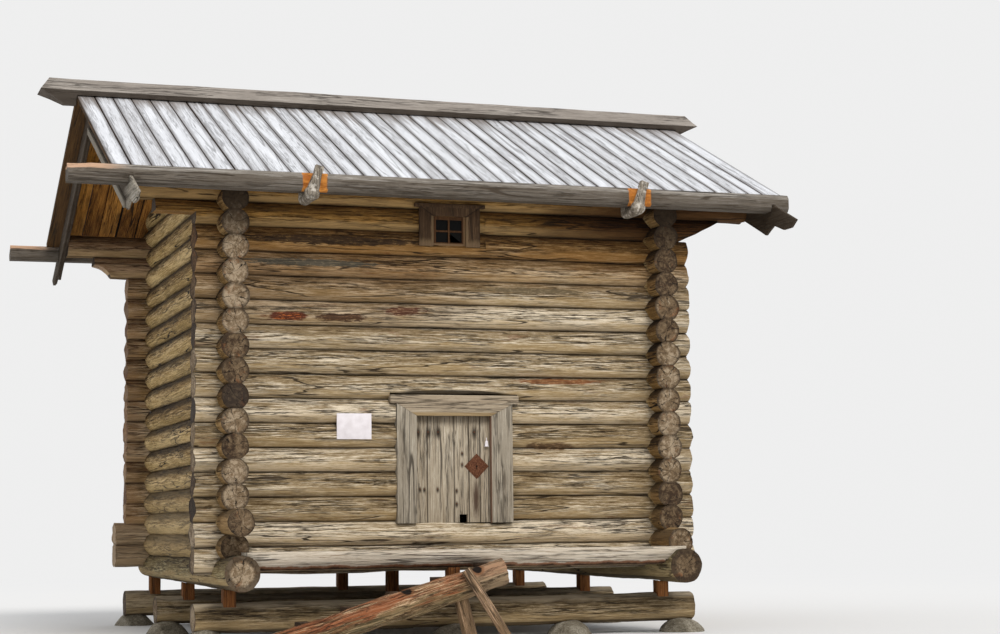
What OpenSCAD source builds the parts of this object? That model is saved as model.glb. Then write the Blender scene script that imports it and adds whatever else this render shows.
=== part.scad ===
// Raised log granary: walls of round notched logs on posts and sleepers, with a board roof
// whose lower edges stand in gutter logs held by root hooks.
// Millimetres. X runs right along the front wall, Y goes into the depth, Z is up.

/* [Walls] */
// Distance between the axes of the left and right walls
wall_x = 4500; // [4200:50:5000]
// Distance between the axes of the front and rear walls
wall_y = 4400; // [4000:50:4800]
// Mean diameter of a wall log
log_d = 268; // [262:2:276]
// How far the diameters of the logs swing about the mean
log_swing = 5; // [0:1:6]
// Height of one course of logs
course = 240; // [236:1:244]
// Length of a log end past the axis of the wall that it crosses
stub = 345; // [300:5:400]
// Play left between two logs that bear on each other
seat_gap = 0.4; // [0.3:0.1:0.6]
// Height of the axis of the lowest cross logs above the ground
cross_z = 685; // [670:5:700]
// Thickness of the lowest cross logs at their front ends
cross_front_d = 340; // [320:5:350]
// Thickness of the lowest cross logs at their rear ends
cross_rear_d = 262; // [250:2:280]
// Reach of the lowest cross logs in front of the front wall axis
cross_reach = 700; // [640:10:760]
// Extra length of the one long end on each side
long_end = 300; // [200:10:320]
// How much shorter the long end on the right is than the one on the left
long_less = 60; // [0:10:100]
// Extra length of the two lowest rear logs past the left corner
rear_long = 120; // [60:10:160]

/* [Base] */
// Diameter of a sleeper log
sleeper_d = 290; // [270:5:300]
// Height of the sleeper axis above the ground
sleeper_z = 255; // [245:5:262]
// Reach of the sleepers past the side wall axes
sleeper_over = 340; // [280:10:400]
// Width and depth of a squared post
post_w = 122; // [100:2:140]
// Distance of a post's middle in front of the axis of its sleeper
post_shift = 45; // [30:5:55]
// How far a post laps down over the flank of its sleeper
post_lap = 100; // [60:5:120]
// Radius of the boulders' rounded backs
boulder_r = 250; // [220:5:280]
// Height of a boulder's back above the ground
boulder_h = 150; // [140:2:160]
// Boulders under one sleeper
boulder_count = 5; // [3:1:7]
// Distance of the front boulders in front of the sleeper's axis
stones_out = 60; // [40:5:70]
// Distance of the middle boulders in front of theirs and of the rear ones behind theirs
stones_shift = 40; // [20:5:60]

/* [Floor] */
// Thickness of the floor boards
floor_t = 50; // [40:2:60]
// Diameter of the middle floor bearer
bearer_d = 240; // [230:2:246]
// Depth of the floor groove behind the axis of the side logs
floor_groove = 75; // [60:5:90]
// Play between the floor boards and the front and rear walls
floor_play = 4; // [2:1:8]

/* [Door] */
// Clear width between the door posts
door_w = 780; // [720:10:840]
// Clear height from the threshold to the lintel
door_h = 1066; // [1050:2:1080]
// Distance of the doorway's centre from the left wall axis
door_x = 2250; // [2150:10:2400]
// Height of the threshold above the axis of the log below it
sill_rise = 90; // [80:2:100]
// Width of the left door post
jamb_left_w = 203; // [190:1:220]
// Width of the right door post
jamb_right_w = 226; // [210:1:240]
// Rise of the mitre between a post and the lintel
mitre_rise = 120; // [100:2:126]
// Height of the lintel above the outer ends of the mitres
lintel_h = 86; // [60:2:90]
// Gap left above the lintel for the logs to settle into
settle_gap = 22; // [10:1:30]
// How far the lintel runs past the posts on each side
lintel_over = 66; // [40:2:80]
// Distance of the posts' front faces in front of the wall axis
jamb_front = 152; // [146:1:160]
// Distance of the posts' rear faces behind the wall axis
jamb_back = 140; // [138:1:150]
// Thickness of the door leaf
leaf_t = 44; // [36:2:50]
// Distance of the leaf's front face behind the posts' front faces
leaf_set = 70; // [60:2:90]
// How far the stop behind which the leaf shuts stands into the doorway
stop_w = 16; // [12:1:20]
// Free play round the leaf
leaf_play = 6; // [5.5:0.5:8]
// Boards in the leaf
leaf_boards = 4; // [3:1:5]
// Radius of the groove along a joint between two of them
joint_r = 3; // [2:1:5]
// Diameter of the wooden pivots that the leaf turns on
pivot_d = 32; // [28:1:36]
// Length of a pivot outside the leaf
pivot_len = 46; // [36:2:56]
// Play round a pivot
pivot_play = 0.3; // [0.2:0.1:0.5]
// Height of a batten on the back of the leaf
batten_h = 110; // [90:5:130]
// Thickness of a batten
batten_t = 34; // [28:2:40]
// Play between a batten's end and the wall when the leaf stands open
batten_play = 12; // [8:1:20]
// Height of the lower batten's middle above the threshold
batten_low = 330; // [280:10:380]
// Height of the upper batten's middle above the threshold
batten_high = 880; // [840:10:920]
// Diagonal of the lock plate
plate_w = 256; // [220:4:280]
// Thickness of the lock plate
plate_t = 3; // [2:0.5:4]
// Distance of the lock plate's centre from the doorway's centre
plate_x = 252; // [200:2:256]
// Height of the lock plate's centre above the threshold
plate_z = 564; // [500:4:600]
// Radius of the keyhole
key_r = 9; // [6:1:12]
// Width of the slot below the keyhole
key_slot = 8; // [5:1:10]
// Length of that slot
key_long = 30; // [20:1:40]
// Width of the cat hole
cat_w = 84; // [60:2:100]
// Height of the cat hole above the leaf's lower edge
cat_h = 80; // [60:4:90]
// Distance of the cat hole's middle from the doorway's centre
cat_x = 112; // [90:2:130]

/* [Window] */
// Distance of the window's centre from the left wall axis
win_x = 2222; // [2180:2:2300]
// Clear width of the window
win_w = 344; // [320:2:380]
// Clear height of the window
win_h = 298; // [270:2:310]
// Depth of the window's sill below the axis of the log that it is cut into
win_drop = 10; // [0:5:30]
// Width of a casing board
casing_w = 148; // [130:2:160]
// Thickness of a casing board
casing_t = 32; // [28:2:40]
// Height of the casing's head board
casing_head = 87; // [70:1:100]
// How far the side boards run down past the sill
casing_foot = 10; // [0:1:20]
// Thickness of the cap board above the casing
cap_t = 36; // [28:1:44]
// How far the cap board runs past the casing on each side
cap_over = 50; // [30:2:64]
// How far the cap board stands in front of the casing
cap_out = 20; // [10:1:30]
// Play left round the casing in the logs
casing_play = 14; // [8:1:20]
// Distance of the casing's front in front of the wall axis
casing_front = 150; // [146:1:156]
// Width of a sash bar's frame
sash_w = 34; // [28:2:40]
// Thickness of the sash
sash_t = 36; // [30:2:44]
// Width of a glazing bar
bar_w = 18; // [14:1:24]
// Thickness of the panes
glass_t = 3; // [2:0.5:4]

/* [Roof] */
// Slope of the roof in degrees
pitch = 24.2; // [23:0.1:25.5]
// Distance of the boards' lower edge in front of the wall axis
eave_out = 570; // [540:10:600]
// Height of the boards' lower edge above the ground
eave_z = 4515; // [4505:1:4530]
// Thickness of one of the two layers of roof boards
board_t = 28; // [24:1:32]
// Spacing of the roof boards
board_pitch = 183; // [165:1:200]
// Width of the open joint between two upper boards
board_gap = 12; // [8:1:20]
// Reach of the roof boards past the side wall axes
verge_out = 1220; // [1200:5:1260]
// Diameter of the purlins
purlin_d = 200; // [180:5:220]
// Diameter of the plates, the top logs of the front and rear walls
plate_d = 272; // [266:2:278]
// Distance of the rake board's inner face from the side wall axis
rake_out = 1045; // [1020:5:1080]
// Thickness of the rake boards
rake_t = 30; // [24:2:36]
// Width of the rake boards
rake_w = 340; // [320:5:350]
// Depth of the rake board's top edge below the roof boards' underside
rake_drop = 6; // [0.4:0.1:20]
// Reach of the rake boards' lower ends in front of the wall axis
rake_reach = 1230; // [1230:5:1280]
// Height of the nose that is cut at the rake board's lower end
rake_nose = 68; // [50:2:80]
// Length of the slant under that nose
rake_slant = 110; // [80:5:140]
// Length of the flat beside the notch in the rake board's lower end
rake_tooth = 170; // [140:5:200]
// Length of one side of the notch
notch_w = 220; // [160:5:240]
// Height of the notch
notch_h = 80; // [50:2:90]
// Thickness of the batten along the rake board's lower edge
strip_t = 24; // [20:1:36]
// Width of that batten
strip_w = 70; // [50:5:90]
// Reach of the batten in front of the wall axis
strip_reach = 495; // [440:5:500]
// Reach of the bracket logs past the side wall axes
bracket_out = 735; // [650:5:800]
// Reach of the ridge log past the left wall axis
ridge_left = 1620; // [1500:10:1700]
// Reach of the ridge log past the right wall axis
ridge_right = 1490; // [1350:10:1550]
// Width of the ridge log
ridge_w = 370; // [330:5:400]
// Height of the ridge log above the peak of the boards
ridge_h = 158; // [140:2:180]
// Depth of the ridge log's underside below that peak
ridge_low = 140; // [120:5:160]
// Width of the ridge log's flat top
ridge_top_w = 116; // [90:2:140]
// Width of its flat underside
ridge_low_w = 100; // [80:2:120]
// Slope of the cut under each end of the ridge log in degrees
ridge_bevel = 28; // [20:1:40]
// Lean of each end of the ridge log above that cut in degrees
ridge_lean = 34; // [20:1:40]
// Slope of the cut under the right end of the front bracket log in degrees
bracket_slope = 25; // [20:1:32]
// Radius of the hollow cut under the ends of the rear bracket log
scoop_r = 260; // [220:5:280]
// Distance of that hollow's centre past the log's end
scoop_out = 40; // [20:5:60]
// Distance of that hollow's centre below the log's underside
scoop_drop = 90; // [70:5:110]

/* [Gutters] */
// Diameter of the log that a gutter is hewn from
gutter_d = 236; // [232:1:250]
// Width of the hewn gutter
gutter_w = 214; // [206:2:220]
// Height of the hewn gutter
gutter_h = 186; // [176:1:196]
// Distance of the gutter's middle in front of the boards' lower edge
gutter_out = 52; // [44:1:60]
// Depth of the gutter's middle below the boards' lower edge
gutter_drop = 116; // [108:1:124]
// Distance of the lip's inner face in front of the boards' lower edge
lip_play = 34; // [24:1:40]
// Radius of the channel's bottom
channel_r = 24; // [16:1:30]
// Radius of the hollow hewn into the lip at the gutter's left end
hewn_r = 430; // [380:10:480]
// Depth of that hollow
hewn_deep = 80; // [60:5:100]
// Reach of the gutters past the left wall axis
gutter_left = 1640; // [1500:10:1700]
// Reach of the gutters past the right wall axis
gutter_right = 1240; // [1230:5:1300]
// Distance of the left hook from the left wall axis
hook_left = 655; // [600:5:760]
// Distance of the right hook from the left wall axis
hook_right = 4025; // [3900:5:4150]
// Diameter of a hook's pole
hook_d = 180; // [170:1:188]
// Distance of the pole's lower end up the slope from the boards' edge
pole_start = 60; // [50:5:90]
// Share of the slope's length that the pole runs up, to the purlin that its end is scribed to
pole_share = 0.56; // [0.54:0.01:0.57]
// Radius of the root where it bends down behind the gutter
bend_r = 64; // [56:1:72]
// Radius of the root that passes under the gutter
root_r = 52; // [44:1:58]
// Depth of the flat on which the gutter rests
root_bite = 6; // [4:1:10]
// Radius of the knob in front of the gutter
knob_r = 74; // [66:1:80]
// How far the knob hangs below the gutter
knob_hang = 95; // [80:1:100]
// Radius of the hook's arm at the knob
arm_r = 64; // [56:1:70]
// Radius of the arm at its tip
arm_tip_r = 38; // [32:1:44]
// How far the arm leans to the right between the knob and the tip
hook_lean = 75; // [50:5:100]
// Height of the tip above the gutter
tip_rise = 56; // [40:2:70]
// Width of the squared tip
tip_w = 82; // [70:2:100]
// Depth of the squared tip
tip_deep = 66; // [56:2:76]
// Height of the squared tip
tip_h = 64; // [50:2:76]
// Width of the hollow hewn into the gutter's face behind the arm
seat_w = 256; // [220:4:280]
// Depth of that hollow
seat_deep = 40; // [30:1:46]

/* [Front] */
// Diameter of the log that the landing slab was split from
slab_d = 330; // [300:5:350]
// Distance of the slab's axis in front of the wall axis
slab_out = 470; // [460:5:500]
// Height of the slab's flat top above the ground
slab_top = 880; // [860:5:900]
// Height of the slab's flat top above its axis
slab_crown = 10; // [0:2:20]
// Distance of the slab's left end from the left wall axis
slab_in = 60; // [40:5:90]
// Reach of the slab past the right wall axis
slab_past = 30; // [10:5:60]
// Height of the steps that carry the slab above the cross logs' axes
slab_step = 65; // [50:5:80]
// Thickness of the notice plate
notice_t = 4; // [3:1:8]
// Width of the notice plate
notice_w = 351; // [300:5:400]
// Height of the notice plate
notice_h = 254; // [200:2:280]
// Distance of the notice plate's centre from the left wall axis
notice_x = 1222; // [1100:10:1300]
// Height of the notice plate's centre above the ground
notice_z = 2091; // [2050:1:2130]

/* [Stair] */
// Distance of the stair's upper end from the left wall axis
stair_x = 2500; // [2400:10:2600]
// Length of the stair logs
stair_len = 2350; // [2200:10:2500]
// Slope of the stair in degrees
stair_slope = 16.3; // [14:0.1:18]
// Height of the stair logs' axis at their upper ends
stair_top = 663; // [640:1:690]
// Diameter of the front stair log
stair_d = 250; // [230:2:270]
// Diameter of the rear stair log
stair_rear_d = 200; // [180:2:220]
// Distance between the axes of the two stair logs
stair_gauge = 270; // [260:5:300]
// Depth of the flat where the head of the rear stair log bears on the landing slab
stair_bite = 6; // [4:1:12]
// Treads on the stair
tread_count = 5; // [3:1:6]
// Width of a tread along the stair
tread_w = 120; // [100:5:140]
// Thickness of a tread
tread_t = 85; // [70:5:100]
// How far a tread's top stands above the front log's back
tread_proud = 20; // [10:2:30]
// How far a tread runs past the rear log's axis
tread_past = 40; // [20:5:60]
// Distance of the top tread from the stair's upper end
tread_first = 200; // [160:10:240]
// Distance of the lowest tread from the stair's lower end
tread_last = 300; // [240:10:340]
// Diameter of the front prop leg
leg_d = 96; // [80:2:110]
// How far the front leg's head is set into the flank of the stair log
leg_bite = 40; // [34:1:46]
// Diameter of the rear prop leg
rear_leg_d = 140; // [120:2:150]
// Distance of the front leg's head down the stair from the stair's upper end
leg_down = 430; // [380:10:480]
// Height of the front leg's head above the axis at the stair's upper end
leg_head = 30; // [0:5:60]
// Distance of the rear leg's head down the stair from the stair's upper end
rear_leg_down = 460; // [400:10:500]
// Depth of the rear leg's head below the axis at the stair's upper end
rear_leg_drop = 120; // [100:5:140]
// Distance of the rear leg's head behind the front log's axis
rear_leg_back = 30; // [10:5:60]
// Lean of the front leg down the stair in degrees
leg_lean = 30; // [27:1:32]
// Spread of the front leg away from the stair in degrees
leg_spread = 10; // [6:1:10]
// Lean of the rear leg down the stair in degrees
rear_leg_lean = 16; // [12:1:20]
// Spread of the rear leg towards the wall in degrees
rear_leg_spread = 6; // [4:1:8]

/* [Hidden] */

$fn = 48;
// A reach that is surely past whatever it cuts
far = 9000;
// Golden-angle steps spread the diameters evenly
turn = 137.5;

last_front = 15;
last_side = 15;
door_first = 2;
win_row = 14;
box_left = max(ridge_left, gutter_left);
box_right = wall_x + max(ridge_right, gutter_right);
mid_x = (box_right - box_left) / 2;
mid_y = wall_y / 2;

function side_z(i) = cross_z + i * course;
function row_z(j) = cross_z + course / 2 + j * course;
function side_r(i) = (log_d + log_swing * sin(i * turn)) / 2;
function row_r(j) = j == last_front ? plate_d / 2 : (log_d + log_swing * sin(j * turn + turn / 2)) / 2;

sill_z = row_z(door_first - 1) + sill_rise;
head_z = sill_z + door_h;
mitre_z = head_z + mitre_rise;
lintel_top = mitre_z + lintel_h;
door_last = floor((mitre_z - row_z(0)) / course);
opening_l = door_x - door_w / 2;
opening_r = door_x + door_w / 2;
floor_z = side_z(1) + bearer_d / 2;
win_z = row_z(win_row - 1) - win_drop;
cap_z = win_z + win_h + casing_head;
roof_t = 2 * board_t;
run = mid_y + eave_out;
peak_z = eave_z + run * tan(pitch);
under_drop = roof_t / cos(pitch);

// Puts the part's origin at the middle of its box, on the ground
module place() {
  translate([-mid_x, -mid_y, 0]) children();
}

// Round log along X
module bar_x(y, z, r, x0, x1) {
  translate([x0, y, z]) rotate([0, 90, 0]) cylinder(h = x1 - x0, r = r);
}

// Round log along Y
module bar_y(x, z, r, y0, y1) {
  translate([x, y0, z]) rotate([-90, 0, 0]) cylinder(h = y1 - y0, r = r);
}

// Box between two corners
module block(a, b) {
  translate(a) cube(b - a);
}

// Turns a shape made for the front half into the rear half
module rear_side() {
  translate([0, wall_y, 0]) mirror([0, 1, 0]) children();
}

// Turns a shape made for the left end into the right end
module right_end() {
  translate([wall_x, 0, 0]) mirror([1, 0, 0]) children();
}

// Frame that lies on the front slope: X along the eaves, Y up the slope, Z out of the roof
module on_slope() {
  translate([0, -eave_out, eave_z]) rotate([pitch, 0, 0]) children();
}

// Solid of the lowest cross log, which tapers from its front end to its rear end
module cross_solid(x, extra) {
  translate([x, -cross_reach, cross_z]) rotate([-90, 0, 0])
    cylinder(h = wall_y + cross_reach + stub, d1 = cross_front_d + 2 * extra, d2 = cross_rear_d + 2 * extra);
}

// Solid of side log i at x, grown by extra
module side_solid(i, x, extra) {
  if (i == 0) cross_solid(x, extra);
  else bar_y(x, side_z(i), side_r(i) + extra, -stub - extra, wall_y + stub + extra);
}

// Solid of front or rear log j at y, grown by extra
module row_solid(j, y, extra, x0 = -stub, x1 = wall_x + stub) {
  bar_x(y, row_z(j), row_r(j) + extra, x0, x1);
}

module bearer_solid(extra) {
  bar_y(wall_x / 2, side_z(1), bearer_d / 2 + extra, -extra, wall_y + extra);
}

module floor_solid(extra) {
  edge = (log_d + log_swing) / 2 + floor_play;
  block([floor_groove - extra, edge, floor_z + seat_gap - extra],
        [wall_x - floor_groove + extra, wall_y - edge, floor_z + seat_gap + floor_t + extra]);
}

// A front or rear log: grooved over the log below it and saddled over the side logs below it
module row_log(j, y, x0 = -stub, x1 = wall_x + stub) {
  difference() {
    row_solid(j, y, 0, x0, x1);
    if (j > 0) row_solid(j - 1, y, seat_gap, x0 - 1, x1 + 1);
    side_solid(j, 0, seat_gap);
    side_solid(j, wall_x, seat_gap);
    if (j == 1) bearer_solid(seat_gap);
  }
}

// A side log: grooved over the log below it and saddled over the front and rear logs
module side_log(i, x, y0 = -stub, y1 = wall_y + stub) {
  difference() {
    bar_y(x, side_z(i), side_r(i), y0, y1);
    side_solid(i - 1, x, seat_gap);
    row_solid(i - 1, 0, seat_gap, x0 = -far, x1 = far);
    row_solid(i - 1, wall_y, seat_gap, x0 = -far, x1 = far);
    if (i < 3) floor_solid(seat_gap);
  }
}

module boulders(y, first) {
  step = (wall_x + 2 * sleeper_over - boulder_r) / (boulder_count - 1);
  for (k = [0 : boulder_count - 1])
    difference() {
      translate([boulder_r / 2 - sleeper_over + k * step, y + first, boulder_h - boulder_r])
        sphere(r = boulder_r);
      block([-far, -far, -far], [far, far, 0]);
      bar_x(y, sleeper_z, sleeper_d / 2 + seat_gap, -far, far);
    }
}

module sleeper(y) {
  bar_x(y, sleeper_z, sleeper_d / 2, -sleeper_over, wall_x + sleeper_over);
}

// A squared post that laps the front flank of its sleeper and is scribed to the log it carries
module post(x, y, top) {
  difference() {
    block([x - post_w / 2, y - post_w / 2 - post_shift, sleeper_z + sleeper_d / 2 - post_lap],
          [x + post_w / 2, y + post_w / 2 - post_shift, top]);
    bar_x(y, sleeper_z, sleeper_d / 2 + seat_gap, -far, far);
    children();
  }
}

module stones_front() color("gray") boulders(0, -stones_out);
module stones_middle() color("gray") boulders(wall_y / 2, -stones_shift);
module stones_rear() color("gray") boulders(wall_y, stones_shift);
module sleeper_front() color("tan") sleeper(0);
module sleeper_middle() color("tan") sleeper(wall_y / 2);
module sleeper_rear() color("tan") sleeper(wall_y);

module end_posts(y) {
  post(0, y, cross_z) cross_solid(0, seat_gap);
  post(wall_x, y, cross_z) cross_solid(wall_x, seat_gap);
}

module posts_front() color("sienna") {
  end_posts(0);
  post(wall_x / 2, 0, row_z(0)) row_solid(0, 0, seat_gap);
}

module posts_middle() color("sienna") {
  end_posts(wall_y / 2);
  post(wall_x / 2, wall_y / 2, side_z(1)) bearer_solid(seat_gap);
}

module posts_rear() color("sienna") {
  end_posts(wall_y);
  post(wall_x / 2, wall_y, row_z(0)) row_solid(0, wall_y, seat_gap);
}

// Split log that lies in steps cut in the inner upper quarters of the cross logs
slab_z = slab_top - slab_crown;
slab_right = wall_x + slab_past;
slab_seat = cross_z + slab_step;
right_long = long_end - long_less;

module slab_solid(extra) {
  difference() {
    bar_x(-slab_out, slab_z, slab_d / 2 + extra, slab_in - extra, slab_right + extra);
    block([-far, -far, slab_top + extra], [far, far, far]);
    block([-far, -far, 0], [cross_front_d / 2, far, slab_seat - extra]);
    block([wall_x - cross_front_d / 2, -far, 0], [far, far, slab_seat - extra]);
    bar_y(0, side_z(1), side_r(1) + seat_gap, -stub - seat_gap, 0);
    bar_y(wall_x, side_z(1), side_r(1) + seat_gap, -stub - right_long - seat_gap, 0);
  }
}

module cross_log(x) {
  difference() {
    cross_solid(x, 0);
    slab_solid(seat_gap);
  }
}

module cross_log_left() color("darkkhaki") cross_log(0);
module cross_log_right() color("darkkhaki") cross_log(wall_x);
module landing_slab() color("lightgray") slab_solid(0);

module floor_bearer() color("peru") difference() {
  bearer_solid(0);
  row_solid(0, 0, seat_gap);
  row_solid(0, wall_y, seat_gap);
}

module floor_boards() color("burlywood") floor_solid(0);

// Doorway
jamb_l = opening_l - jamb_left_w;
jamb_r = opening_r + jamb_right_w;

// What the door frame fills, with play round it and a gap above it for the logs to settle into
module frame_room() {
  room_top = lintel_top + settle_gap;
  block([jamb_l - seat_gap, -jamb_front - seat_gap, sill_z - seat_gap],
        [jamb_r + seat_gap, jamb_back + seat_gap, room_top]);
  block([jamb_l - lintel_over - seat_gap, -jamb_front - seat_gap, mitre_z - seat_gap],
        [jamb_r + lintel_over + seat_gap, jamb_back + seat_gap, room_top]);
}

pivot_x = opening_l - stop_w + leaf_play + leaf_t / 2;
leaf_y = -jamb_front + leaf_set + leaf_t / 2;

module pivot_bore() {
  translate([pivot_x, leaf_y, sill_z - pivot_len])
    cylinder(h = door_h + 2 * pivot_len, d = pivot_d + 2 * pivot_play);
}

module front_wall_lower() color("tan") {
  row_log(0, 0);
  difference() {
    row_log(1, 0);
    block([jamb_l - seat_gap, -far, sill_z - seat_gap], [jamb_r + seat_gap, far, far]);
    pivot_bore();
  }
}

// Logs beside the doorway, between two places along X
module beside_door(x0, x1) {
  for (j = [door_first : door_last])
    difference() {
      row_log(j, 0, x0, x1);
      if (row_z(j) + row_r(j) > mitre_z) frame_room();
    }
}

module front_wall_left() color("tan") beside_door(-stub, jamb_l - seat_gap);
module front_wall_right() color("tan") beside_door(jamb_r + seat_gap, wall_x + stub);

// Everything that is cut out of the logs round the window
module window_cut() {
  side = win_w / 2 + casing_w + cap_over + casing_play;
  block([win_x - win_w / 2, -far, win_z], [win_x + win_w / 2, far, win_z + win_h]);
  block([win_x - side, -far, win_z - casing_foot - casing_play],
        [win_x + side, -casing_front + casing_t + seat_gap, cap_z + cap_t + casing_play]);
}

module front_wall_upper() color("tan") {
  for (j = [door_last + 1 : win_row - 1])
    difference() {
      row_log(j, 0);
      if (row_z(j) - row_r(j) < lintel_top + settle_gap) frame_room();
      if (j == win_row - 1) window_cut();
    }
}

// Everything below a plane through the origin that falls towards +X
module below_slope(angle) {
  rotate([0, angle, 0]) translate([-far, -far, -far]) cube([2 * far, 2 * far, far]);
}

// Hollow cut under the projecting end of the rear bracket log
module bracket_scoop() {
  translate([-bracket_out - scoop_out, wall_y, row_z(win_row) - log_d / 2 - scoop_drop])
    rotate([90, 0, 0]) cylinder(h = 2 * log_d, r = scoop_r, center = true);
}

module bracket_row(y) {
  row_log(win_row, y, -bracket_out, wall_x + bracket_out);
}

// Its left end keeps the upper half of the log, its right end is cut to a long slope
module front_bracket_log() color("peru") difference() {
  bracket_row(0);
  window_cut();
  block([-far, -far, -far], [-stub, far, row_z(win_row)]);
  translate([wall_x + bracket_out, 0, row_z(last_front) - plate_d / 2]) below_slope(-bracket_slope);
}

module rear_bracket_log() color("peru") difference() {
  bracket_row(wall_y);
  bracket_scoop();
  right_end() bracket_scoop();
}

module front_plate() color("peru") difference() {
  row_log(last_front, 0, -rake_out + seat_gap, wall_x + rake_out - seat_gap);
  window_cut();
}

module rear_plate() color("peru")
  row_log(last_front, wall_y, -rake_out + seat_gap, wall_x + rake_out - seat_gap);

module left_wall() color("darkkhaki") {
  for (i = [1 : last_side])
    side_log(i, 0, i == 2 ? -stub - long_end : -stub);
}

module right_wall() color("darkkhaki") {
  for (i = [1 : last_side])
    side_log(i, wall_x, i == 1 ? -stub - right_long : -stub);
}

module rear_wall() color("tan") {
  for (j = [0 : win_row - 1])
    row_log(j, wall_y, j < 2 ? -stub - rear_long : -stub);
}

// Roof planes
module under_roof(drop) {
  translate([-far, 0, 0]) rotate([90, 0, 90]) linear_extrude(2 * far)
    polygon([[-eave_out, 0], [wall_y + eave_out, 0],
             [wall_y + eave_out, eave_z - under_drop - drop],
             [mid_y, peak_z - under_drop - drop],
             [-eave_out, eave_z - under_drop - drop]]);
}

purlin_z = peak_z - under_drop - (purlin_d / 2 + seat_gap) / cos(pitch);
purlin_half = mid_y / 2;
half_z = purlin_z - purlin_half * tan(pitch);

module purlin_solid(extra, x0, x1) {
  bar_x(mid_y, purlin_z, purlin_d / 2 + extra, x0, x1);
  bar_x(mid_y - purlin_half, half_z, purlin_d / 2 + extra, x0, x1);
  bar_x(mid_y + purlin_half, half_z, purlin_d / 2 + extra, x0, x1);
}

module purlins() color("peru") purlin_solid(0, -rake_out + seat_gap, wall_x + rake_out - seat_gap);

// Both plates, grown by the seat gap
module plate_solids() {
  row_solid(last_front, 0, seat_gap, -far, far);
  row_solid(last_front, wall_y, seat_gap, -far, far);
}

gable_rows = floor((peak_z - under_drop - side_z(last_side)) / course);

module gable(x) {
  for (i = [last_side + 1 : last_side + gable_rows])
    difference() {
      intersection() {
        bar_y(x, side_z(i), side_r(i), -stub, wall_y + stub);
        under_roof(seat_gap);
      }
      bar_y(x, side_z(i - 1), side_r(i - 1) + seat_gap, -far, far);
      if (i == last_side + 1) plate_solids();
      purlin_solid(seat_gap, -far, far);
    }
}

module left_gable() color("darkkhaki") gable(0);
module right_gable() color("darkkhaki") gable(wall_x);

// Section of the two layers of boards, depth counted downwards: upper boards over open joints,
// and lower boards whose joints show underneath
function covering(n, w) = concat(
  [for (k = [0 : n - 2]) each [
    [k * w, 0], [(k + 1) * w - board_gap, 0],
    [(k + 1) * w - board_gap, board_t], [(k + 1) * w, board_t]]],
  [[(n - 1) * w, 0], [n * w, 0], [n * w, roof_t]],
  [for (k = [n - 1 : -1 : 0]) each [
    [(k + 0.5) * w + board_gap / 3, roof_t], [(k + 0.5) * w + board_gap / 3, roof_t - board_t / 2],
    [(k + 0.5) * w - board_gap / 3, roof_t - board_t / 2], [(k + 0.5) * w - board_gap / 3, roof_t]]],
  [[0, roof_t]]);

module slope_boards() {
  span = wall_x + 2 * verge_out;
  n = round(span / board_pitch);
  difference() {
    translate([-verge_out, 0, 0]) on_slope() rotate([-90, 0, 0])
      linear_extrude(run / cos(pitch) + roof_t)
      polygon(covering(n, span / n));
    block([-far, mid_y - seat_gap / 2, 0], [far, far, far]);
  }
}

module roof_front() color("gainsboro") slope_boards();
module roof_rear() color("gainsboro") rear_side() slope_boards();

// Hewn ridge log: its full section runs out at both free ends and is grooved over the boards between
module ridge_section() {
  polygon([
    [-ridge_low_w / 2, -ridge_low], [-ridge_w / 2, 0], [-ridge_top_w / 2, ridge_h],
    [ridge_top_w / 2, ridge_h], [ridge_w / 2, 0], [ridge_low_w / 2, -ridge_low]]);
}

// Room that both slopes of boards take under the ridge log
module ridge_groove() {
  translate([-verge_out - seat_gap, 0, seat_gap]) rotate([90, 0, 90])
    linear_extrude(wall_x + 2 * (verge_out + seat_gap))
    polygon([[-eave_out, 0], [wall_y + eave_out, 0], [wall_y + eave_out, eave_z],
             [mid_y, peak_z], [-eave_out, eave_z]]);
}

module ridge_end_cut() {
  below_slope(ridge_bevel);
  rotate([0, ridge_lean, 0]) translate([-far, -far, -far]) cube([far, 2 * far, 2 * far]);
}

module ridge_log() color("dimgray") difference() {
  translate([-ridge_left, mid_y, peak_z]) rotate([90, 0, 90])
    linear_extrude(wall_x + ridge_left + ridge_right) ridge_section();
  ridge_groove();
  translate([-ridge_left, mid_y, peak_z]) ridge_end_cut();
  translate([wall_x + ridge_right, mid_y, peak_z]) mirror([1, 0, 0]) ridge_end_cut();
}

// Gutters
gutter_y = -eave_out - gutter_out;
gutter_z = eave_z - gutter_drop;
gutter_face = gutter_y - gutter_w / 2;
gutter_low = gutter_z - gutter_h / 2;
gutter_top = gutter_z + gutter_h / 2;

// Cylinder that hews a hollow of the given width and depth
function hollow_r(wide, deep) = (wide * wide / 4 + deep * deep) / (2 * deep);
seat_r = hollow_r(seat_w, seat_deep);

// The hewn log's outline with the hollows behind the hooks' arms, grown by extra
module gutter_room(extra, x0, x1) {
  difference() {
    intersection() {
      bar_x(gutter_y, gutter_z, gutter_d / 2 + extra, x0, x1);
      block([x0, gutter_face - extra, gutter_low - extra],
            [x1, gutter_y + gutter_w / 2 + extra, gutter_top + extra]);
    }
    for (x = [hook_left, hook_right])
      translate([x + hook_lean / 2, gutter_face + seat_deep - seat_r, gutter_low - gutter_h])
        cylinder(h = 3 * gutter_h, r = seat_r - extra);
  }
}

// Hewn gutter log with the channel that the boards' lower edges stand in
module gutter_solid() {
  hewn_off = (hewn_r - hewn_deep) / sqrt(2);
  difference() {
    gutter_room(0, -gutter_left, wall_x + gutter_right);
    on_slope() translate([-far, -lip_play, -roof_t - seat_gap]) cube([2 * far, far, far]);
    on_slope() translate([-far, channel_r - lip_play, -roof_t]) rotate([0, 90, 0])
      cylinder(h = 2 * far, r = channel_r);
    translate([-gutter_left, gutter_face - hewn_off, gutter_top + hewn_off]) sphere(r = hewn_r);
  }
}

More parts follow.
